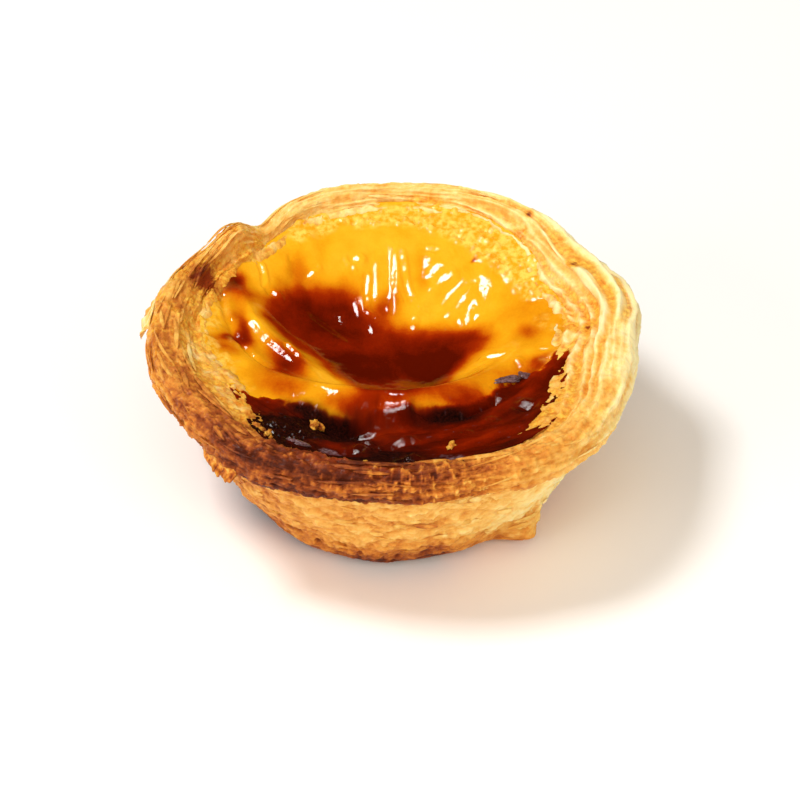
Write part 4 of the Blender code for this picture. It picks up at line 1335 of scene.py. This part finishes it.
CHAR = [(17.6, -5.0, 0.35), (20.0, -4.6, 0.4), (-13.4, -24.6, 0.2)]
CHAR_SIZES = [(2.1, 0.8, 0.22), (1.1, 0.7, 0.2), (2.0, 0.5, 0.2)]
char_flakes = lumps_at(
    "char_flakes", CHAR, CHAR_SIZES, (14, -30, -24), 0.55, 103,
    {
        "caramel_and_shade": evenly(1.0), "scorch": evenly(1.0), "blister": evenly(0.0), "dry": evenly(0.2),
        "char_and_shadow": lambda p: 0.8 + 0.4 * crumble(p, 1.2, 2, seed=105),
        # Painted sheen: the flakes are painted grey-purple where black glossy flakes would reflect pale
        # light.
        "grey_sheen": lambda p: 0.75 + 0.5 * crumble(p, 0.9, 2, seed=109),
    },
)

# %% [markdown]
# ## Finishes
#
# Both finishes read numbers that the shapes left on the vertices: how brown the pastry is, and how
# dark the caramel. These numbers also carry painted light and shade: paler crests and darker gaps on
# the pastry's relief, and shade on the custard's right side. A colour ramp turns such a number into
# a colour, and noise nodes shift it a little before it gets there, so that the edges of a brown patch
# are as ragged as real ones. An image would do this too, but it would stop at its own resolution.


# %% Node helpers
def srgb(red, green, blue, alpha=1.0):
    """A display colour, 0 to 255, as the linear values that a shader takes."""
    share = np.array([red, green, blue]) / 255.0
    linear = np.where(share <= 0.04045, share / 12.92, ((share + 0.055) / 1.055) ** 2.4)
    return (*map(float, linear), alpha)


def add(tree, kind, inputs=None, **settings):
    """A new shader node. Each input takes a value, or a link where it is given another's output."""
    made = tree.nodes.new("ShaderNode" + kind)
    for name, value in settings.items():
        setattr(made, name, value)
    for name, value in (inputs or {}).items():
        if isinstance(value, bpy.types.NodeSocket):
            tree.links.new(value, made.inputs[name])
        else:
            made.inputs[name].default_value = value
    return made


def maths(tree, operation, a, b=0.0, clamp=False):
    return add(tree, "Math", {0: a, 1: b}, operation=operation, use_clamp=clamp).outputs[0]


def scaled(tree, value, factor, plus, clamp=False):
    """A number times a factor, plus another number."""
    inputs = {0: value, 1: factor, 2: plus}
    return add(tree, "Math", inputs, operation="MULTIPLY_ADD", use_clamp=clamp).outputs[0]


def shifted(tree, base, amount, by):
    """A number plus a noise's 0 to 1, centred on nought and scaled."""
    return maths(tree, "ADD", base, scaled(tree, by, amount, -0.5 * amount))


def mark(tree, name):
    """A number that the shapes left on the vertices."""
    return add(tree, "Attribute", attribute_name=name).outputs["Fac"]


def speckle(tree, place, per_mm, detail=3.0, roughness=0.55, distortion=0.0):
    """Noise with so many bumps to a millimetre, where the place is in metres."""
    inputs = {"Vector": place, "Scale": per_mm / MM, "Detail": detail, "Roughness": roughness}
    return add(tree, "TexNoise", {**inputs, "Distortion": distortion}).outputs["Fac"]


def colour_ramp(tree, value, stops):
    """A number turned into a colour. The first two stops are the ends that every new ramp has."""
    ramp_node = add(tree, "ValToRGB", {"Fac": value})
    elements = ramp_node.color_ramp.elements
    for k, (at, colour) in enumerate(stops):
        element = elements[k] if k < 2 else elements.new(at)
        element.position, element.color = at, colour
    return ramp_node.outputs["Color"]


def blend_colours(tree, share, under, over):
    """One colour over another, as strongly as the share says."""
    mixed = add(tree, "Mix", data_type="RGBA", blend_type="MIX", clamp_factor=True)
    inputs = {socket.identifier: socket for socket in mixed.inputs}
    for socket, value in (("Factor_Float", share), ("A_Color", under), ("B_Color", over)):
        if isinstance(value, bpy.types.NodeSocket):
            tree.links.new(value, inputs[socket])
        else:
            inputs[socket].default_value = value
    return next(s for s in mixed.outputs if s.identifier == "Result_Color")


def new_finish(name):
    material = bpy.data.materials.new(name)
    material.use_nodes = True
    return material, material.node_tree, material.node_tree.nodes["Principled BSDF"]


def connect(tree, shader, inputs):
    for name, value in inputs.items():
        if isinstance(value, bpy.types.NodeSocket):
            tree.links.new(value, shader.inputs[name])
        else:
            shader.inputs[name].default_value = value


# %% [markdown]
# ### Baked pastry
#
# The pastry goes from cream through gold to brown as it bakes, and butter keeps parts of it glossy.
# Light also enters it a little before it comes out again, which is why its thin edges look warm.
# A brown image with a bump map could stand for it, but it would not know where the crust is thick,
# pale or soaked, while the vertices do.

# %% Baked pastry: colour
pastry, tree, shader = new_finish("baked_pastry")
object_place = add(tree, "TexCoord").outputs["Object"]
flow = add(tree, "Attribute", attribute_name="flow").outputs["Vector"]
fibre_noise = {"Vector": flow, "Scale": 1.9, "Detail": 5.0, "Roughness": 0.62, "Distortion": 0.6}
fibres = add(tree, "TexNoise", fibre_noise).outputs["Fac"]
freckles = speckle(tree, object_place, 1.2, 5.0, 0.68)
broad_patches = speckle(tree, object_place, 0.33, 3.0, 0.6)
toast_and_shading = shifted(tree, mark(tree, "toast_and_shading"), 0.32, fibres)
toast_and_shading = shifted(tree, toast_and_shading, 0.28, freckles)
toast_and_shading = shifted(tree, toast_and_shading, 0.14, broad_patches)
crust_colour = colour_ramp(tree, toast_and_shading, [
    (0.00, srgb(255, 236, 176)), (1.00, srgb(78, 29, 11)), (0.20, srgb(253, 219, 138)),
    (0.36, srgb(244, 190, 96)), (0.52, srgb(228, 156, 64)), (0.66, srgb(200, 118, 42)),
    (0.80, srgb(152, 74, 27)), (0.90, srgb(114, 48, 16)),
])
stain_colour = colour_ramp(tree, freckles, [(0.38, srgb(253, 200, 74)), (0.62, srgb(220, 124, 14))])
soaked = scaled(tree, toast_and_shading, 4.0, -2.5, clamp=True)  # dark where browned crust is soaked
stain_colour = blend_colours(tree, soaked, stain_colour, srgb(152, 56, 14))
stained = maths(tree, "MULTIPLY", mark(tree, "custard_stain"), 0.85, clamp=True)
crust_colour = blend_colours(tree, stained, crust_colour, stain_colour)

# %% Baked pastry: surface
glaze = mark(tree, "glaze")
dull = shifted(tree, scaled(tree, glaze, -0.30, 0.62), 0.25, freckles)
grain = speckle(tree, object_place, 3.2, 3.0, 0.6)
height = maths(tree, "ADD", maths(tree, "MULTIPLY", fibres, 0.7), maths(tree, "MULTIPLY", grain, 0.5))
bumped = add(tree, "Bump", {"Height": height, "Strength": 0.60, "Distance": 0.32 * MM}).outputs["Normal"]
connect(tree, shader, {
    "Base Color": crust_colour, "Roughness": dull, "Normal": bumped,
    "Coat Weight": maths(tree, "MULTIPLY", glaze, 0.3), "Coat Roughness": 0.20,
    "Specular IOR Level": 0.18, "Subsurface Weight": 0.22,
    "Subsurface Radius": (1.0, 0.48, 0.18), "Subsurface Scale": 1.4 * MM,
})
print("baked pastry has", len(tree.nodes), "nodes")

# %% [markdown]
# ### Glossy custard
#
# One number, the caramel, takes the colour from egg yellow through orange and red-brown to black;
# on the custard's right side it also holds painted shade.
# Over it lies a clear coat, because a wet skin reflects the light at its very surface, sharply,
# while the colour comes from below. A low roughness alone would be simpler, but it would also make
# the custard itself look like plastic. Where the skin is dry, the coat fades out.

# %% Glossy custard: colour
custard_finish, tree, shader = new_finish("glossy_baked_custard")
object_place = add(tree, "TexCoord").outputs["Object"]
mottle = speckle(tree, object_place, 0.42, 3.0, 0.55, 0.4)
fine_mottle = speckle(tree, object_place, 2.6, 3.0, 0.6)
scorch, blister, char_and_shadow, dry = (mark(tree, name) for name in ("scorch", "blister", "char_and_shadow", "dry"))
tone = shifted(tree, mark(tree, "caramel_and_shade"), 0.10, mottle)
tone = shifted(tree, tone, 0.14, fine_mottle)
custard_colour = colour_ramp(tree, tone, [
    (0.00, srgb(250, 180, 36)), (1.00, srgb(84, 14, 1)), (0.12, srgb(241, 167, 24)),
    (0.26, srgb(223, 145, 14)), (0.42, srgb(207, 112, 8)), (0.56, srgb(178, 66, 4)),
    (0.70, srgb(148, 37, 2)), (0.86, srgb(120, 24, 2)),
])
froth = speckle(tree, object_place, 0.95, 3.0, 0.62)
foam = colour_ramp(tree, froth, [(0.38, srgb(254, 216, 98)), (0.60, srgb(236, 160, 24))])
custard_colour = blend_colours(tree, maths(tree, "MULTIPLY", blister, 0.8), custard_colour, foam)
# This black is burnt skin, and also painted shadow in the gaps under the front fold.
soot_and_shadow = colour_ramp(tree, fine_mottle, [(0.35, srgb(18, 6, 5)), (0.72, srgb(52, 16, 9))])
custard_colour = blend_colours(tree, char_and_shadow, custard_colour, soot_and_shadow)
# Painted sheen: a grey-purple that stands for pale light reflected from the black burnt skin.
grey_sheen_colour = colour_ramp(tree, fine_mottle, [(0.35, srgb(74, 50, 54)), (0.70, srgb(140, 108, 112))])
custard_colour = blend_colours(tree, mark(tree, "grey_sheen"), custard_colour, grey_sheen_colour)

# %% Glossy custard: surface
ripple = speckle(tree, object_place, 1.4, 2.0, 0.5)
grit = speckle(tree, object_place, 3.6, 3.0, 0.6)
gritty = maths(tree, "MAXIMUM", maths(tree, "MULTIPLY", scorch, 0.5), maths(tree, "MULTIPLY", blister, 0.45))
skin_height = maths(tree, "MULTIPLY", ripple, 0.38)
skin_height = maths(tree, "ADD", skin_height, maths(tree, "MULTIPLY", gritty, grit))
bumped = add(tree, "Bump", {"Height": skin_height, "Strength": 0.55, "Distance": 0.16 * MM}).outputs["Normal"]
dull = scaled(tree, maths(tree, "MAXIMUM", char_and_shadow, blister), 0.24, 0.16)
dull = maths(tree, "ADD", dull, maths(tree, "MULTIPLY", dry, 0.3))
coat = maths(tree, "SUBTRACT", 0.9, maths(tree, "MULTIPLY", dry, 0.88))
connect(tree, shader, {
    "Base Color": custard_colour, "Roughness": dull, "Normal": bumped, "Coat Normal": bumped,
    "Coat Weight": coat, "Coat Roughness": 0.045, "Coat IOR": 1.44, "Specular IOR Level": 0.0,
    "Subsurface Weight": 0.16, "Subsurface Radius": (1.0, 0.42, 0.10), "Subsurface Scale": 1.6 * MM,
})
print("glossy custard has", len(tree.nodes), "nodes")

# %% Put the finishes on the pieces
for piece in (crust_wall, crust_rim, wall_leaves, rim_leaves, peeled_leaf, pastry_crumbs):
    piece.data.materials.append(pastry)
for piece in (custard, char_flakes):
    piece.data.materials.append(custard_finish)

# %% [markdown]
# ## The floor, the light and the camera
#
# The tart stands on a plain white floor. One soft light stands high on its left, which throws the
# shadow to the right. Three broad, weak fills and a pale world lift that shadow and the front. The
# fills and the world aren't reflected, so that the dark caramel stays deep and only the key light
# shows in it as highlights. A picture of a room round the tart would light it too, but its windows
# would show on the wet skin.

# %% Stage
FLOOR_SIZE = 6.0
bpy.ops.mesh.primitive_plane_add(size=FLOOR_SIZE, location=(0.0, 0.0, 0.0))
floor_piece = bpy.context.object
floor_piece.name = "floor"
white, tree, shader = new_finish("white_floor")
connect(tree, shader, {"Base Color": (0.95, 0.95, 0.95, 1.0), "Roughness": 0.9, "Specular IOR Level": 0.1})
floor_piece.data.materials.append(white)

# %% Lights
TARGET = Vector((1.2, 0.0, 13.5)) * MM


def look_at(thing, target):
    thing.rotation_euler = (target - thing.location).to_track_quat("-Z", "Y").to_euler()


def soft_light(name, direction, distance, size, power, colour, reflected=False):
    """A square area light that stands in a direction from the tart, at a distance, and faces it."""
    lamp = bpy.data.lights.new(name, "AREA")
    lamp.size, lamp.energy, lamp.color = size, power, colour
    thing = bpy.data.objects.new(name, lamp)
    bpy.context.scene.collection.objects.link(thing)
    thing.location = TARGET + Vector(direction).normalized() * distance
    look_at(thing, TARGET)
    thing.visible_glossy = reflected


soft_light("key_light", (-0.45, -0.02, 0.89), 1.0, 0.24, 6.0, (1.0, 0.985, 0.96), reflected=True)
soft_light("front_fill", (0.0, -0.64, 0.76), 1.2, 0.6, 3.0, (0.98, 0.90, 0.78))
soft_light("right_fill", (0.62, -0.66, 0.50), 1.2, 0.5, 4.3, (1.0, 0.86, 0.66))
soft_light("left_fill", (-0.78, -0.58, 0.38), 1.2, 0.6, 4.5, (1.0, 0.92, 0.88))

world = bpy.data.worlds.new("pale_room")
world.use_nodes = True
background = world.node_tree.nodes["Background"]
connect(world.node_tree, background, {"Color": (1.0, 0.99, 0.98, 1.0), "Strength": 0.34})
bpy.context.scene.world = world
world.cycles_visibility.glossy = False
bpy.context.scene.view_settings.view_transform = "Standard"
print("lights:", ", ".join(lamp.name for lamp in bpy.data.lights))

# %% Camera
ELEVATION, DISTANCE = np.radians(38.0), 450.0 * MM
SENSOR_MM, LENS_MM = 36.0, 132.2  # a long lens, from further away, keeps the tart's proportions
NEAREST = 0.01
lens = bpy.data.cameras.new("camera")
lens.sensor_width, lens.lens, lens.clip_start = SENSOR_MM, LENS_MM, NEAREST
camera = bpy.data.objects.new("camera", lens)
bpy.context.scene.collection.objects.link(camera)
camera.location = TARGET + Vector((0.0, -np.cos(ELEVATION), np.sin(ELEVATION))) * DISTANCE
look_at(camera, TARGET)
bpy.context.scene.camera = camera
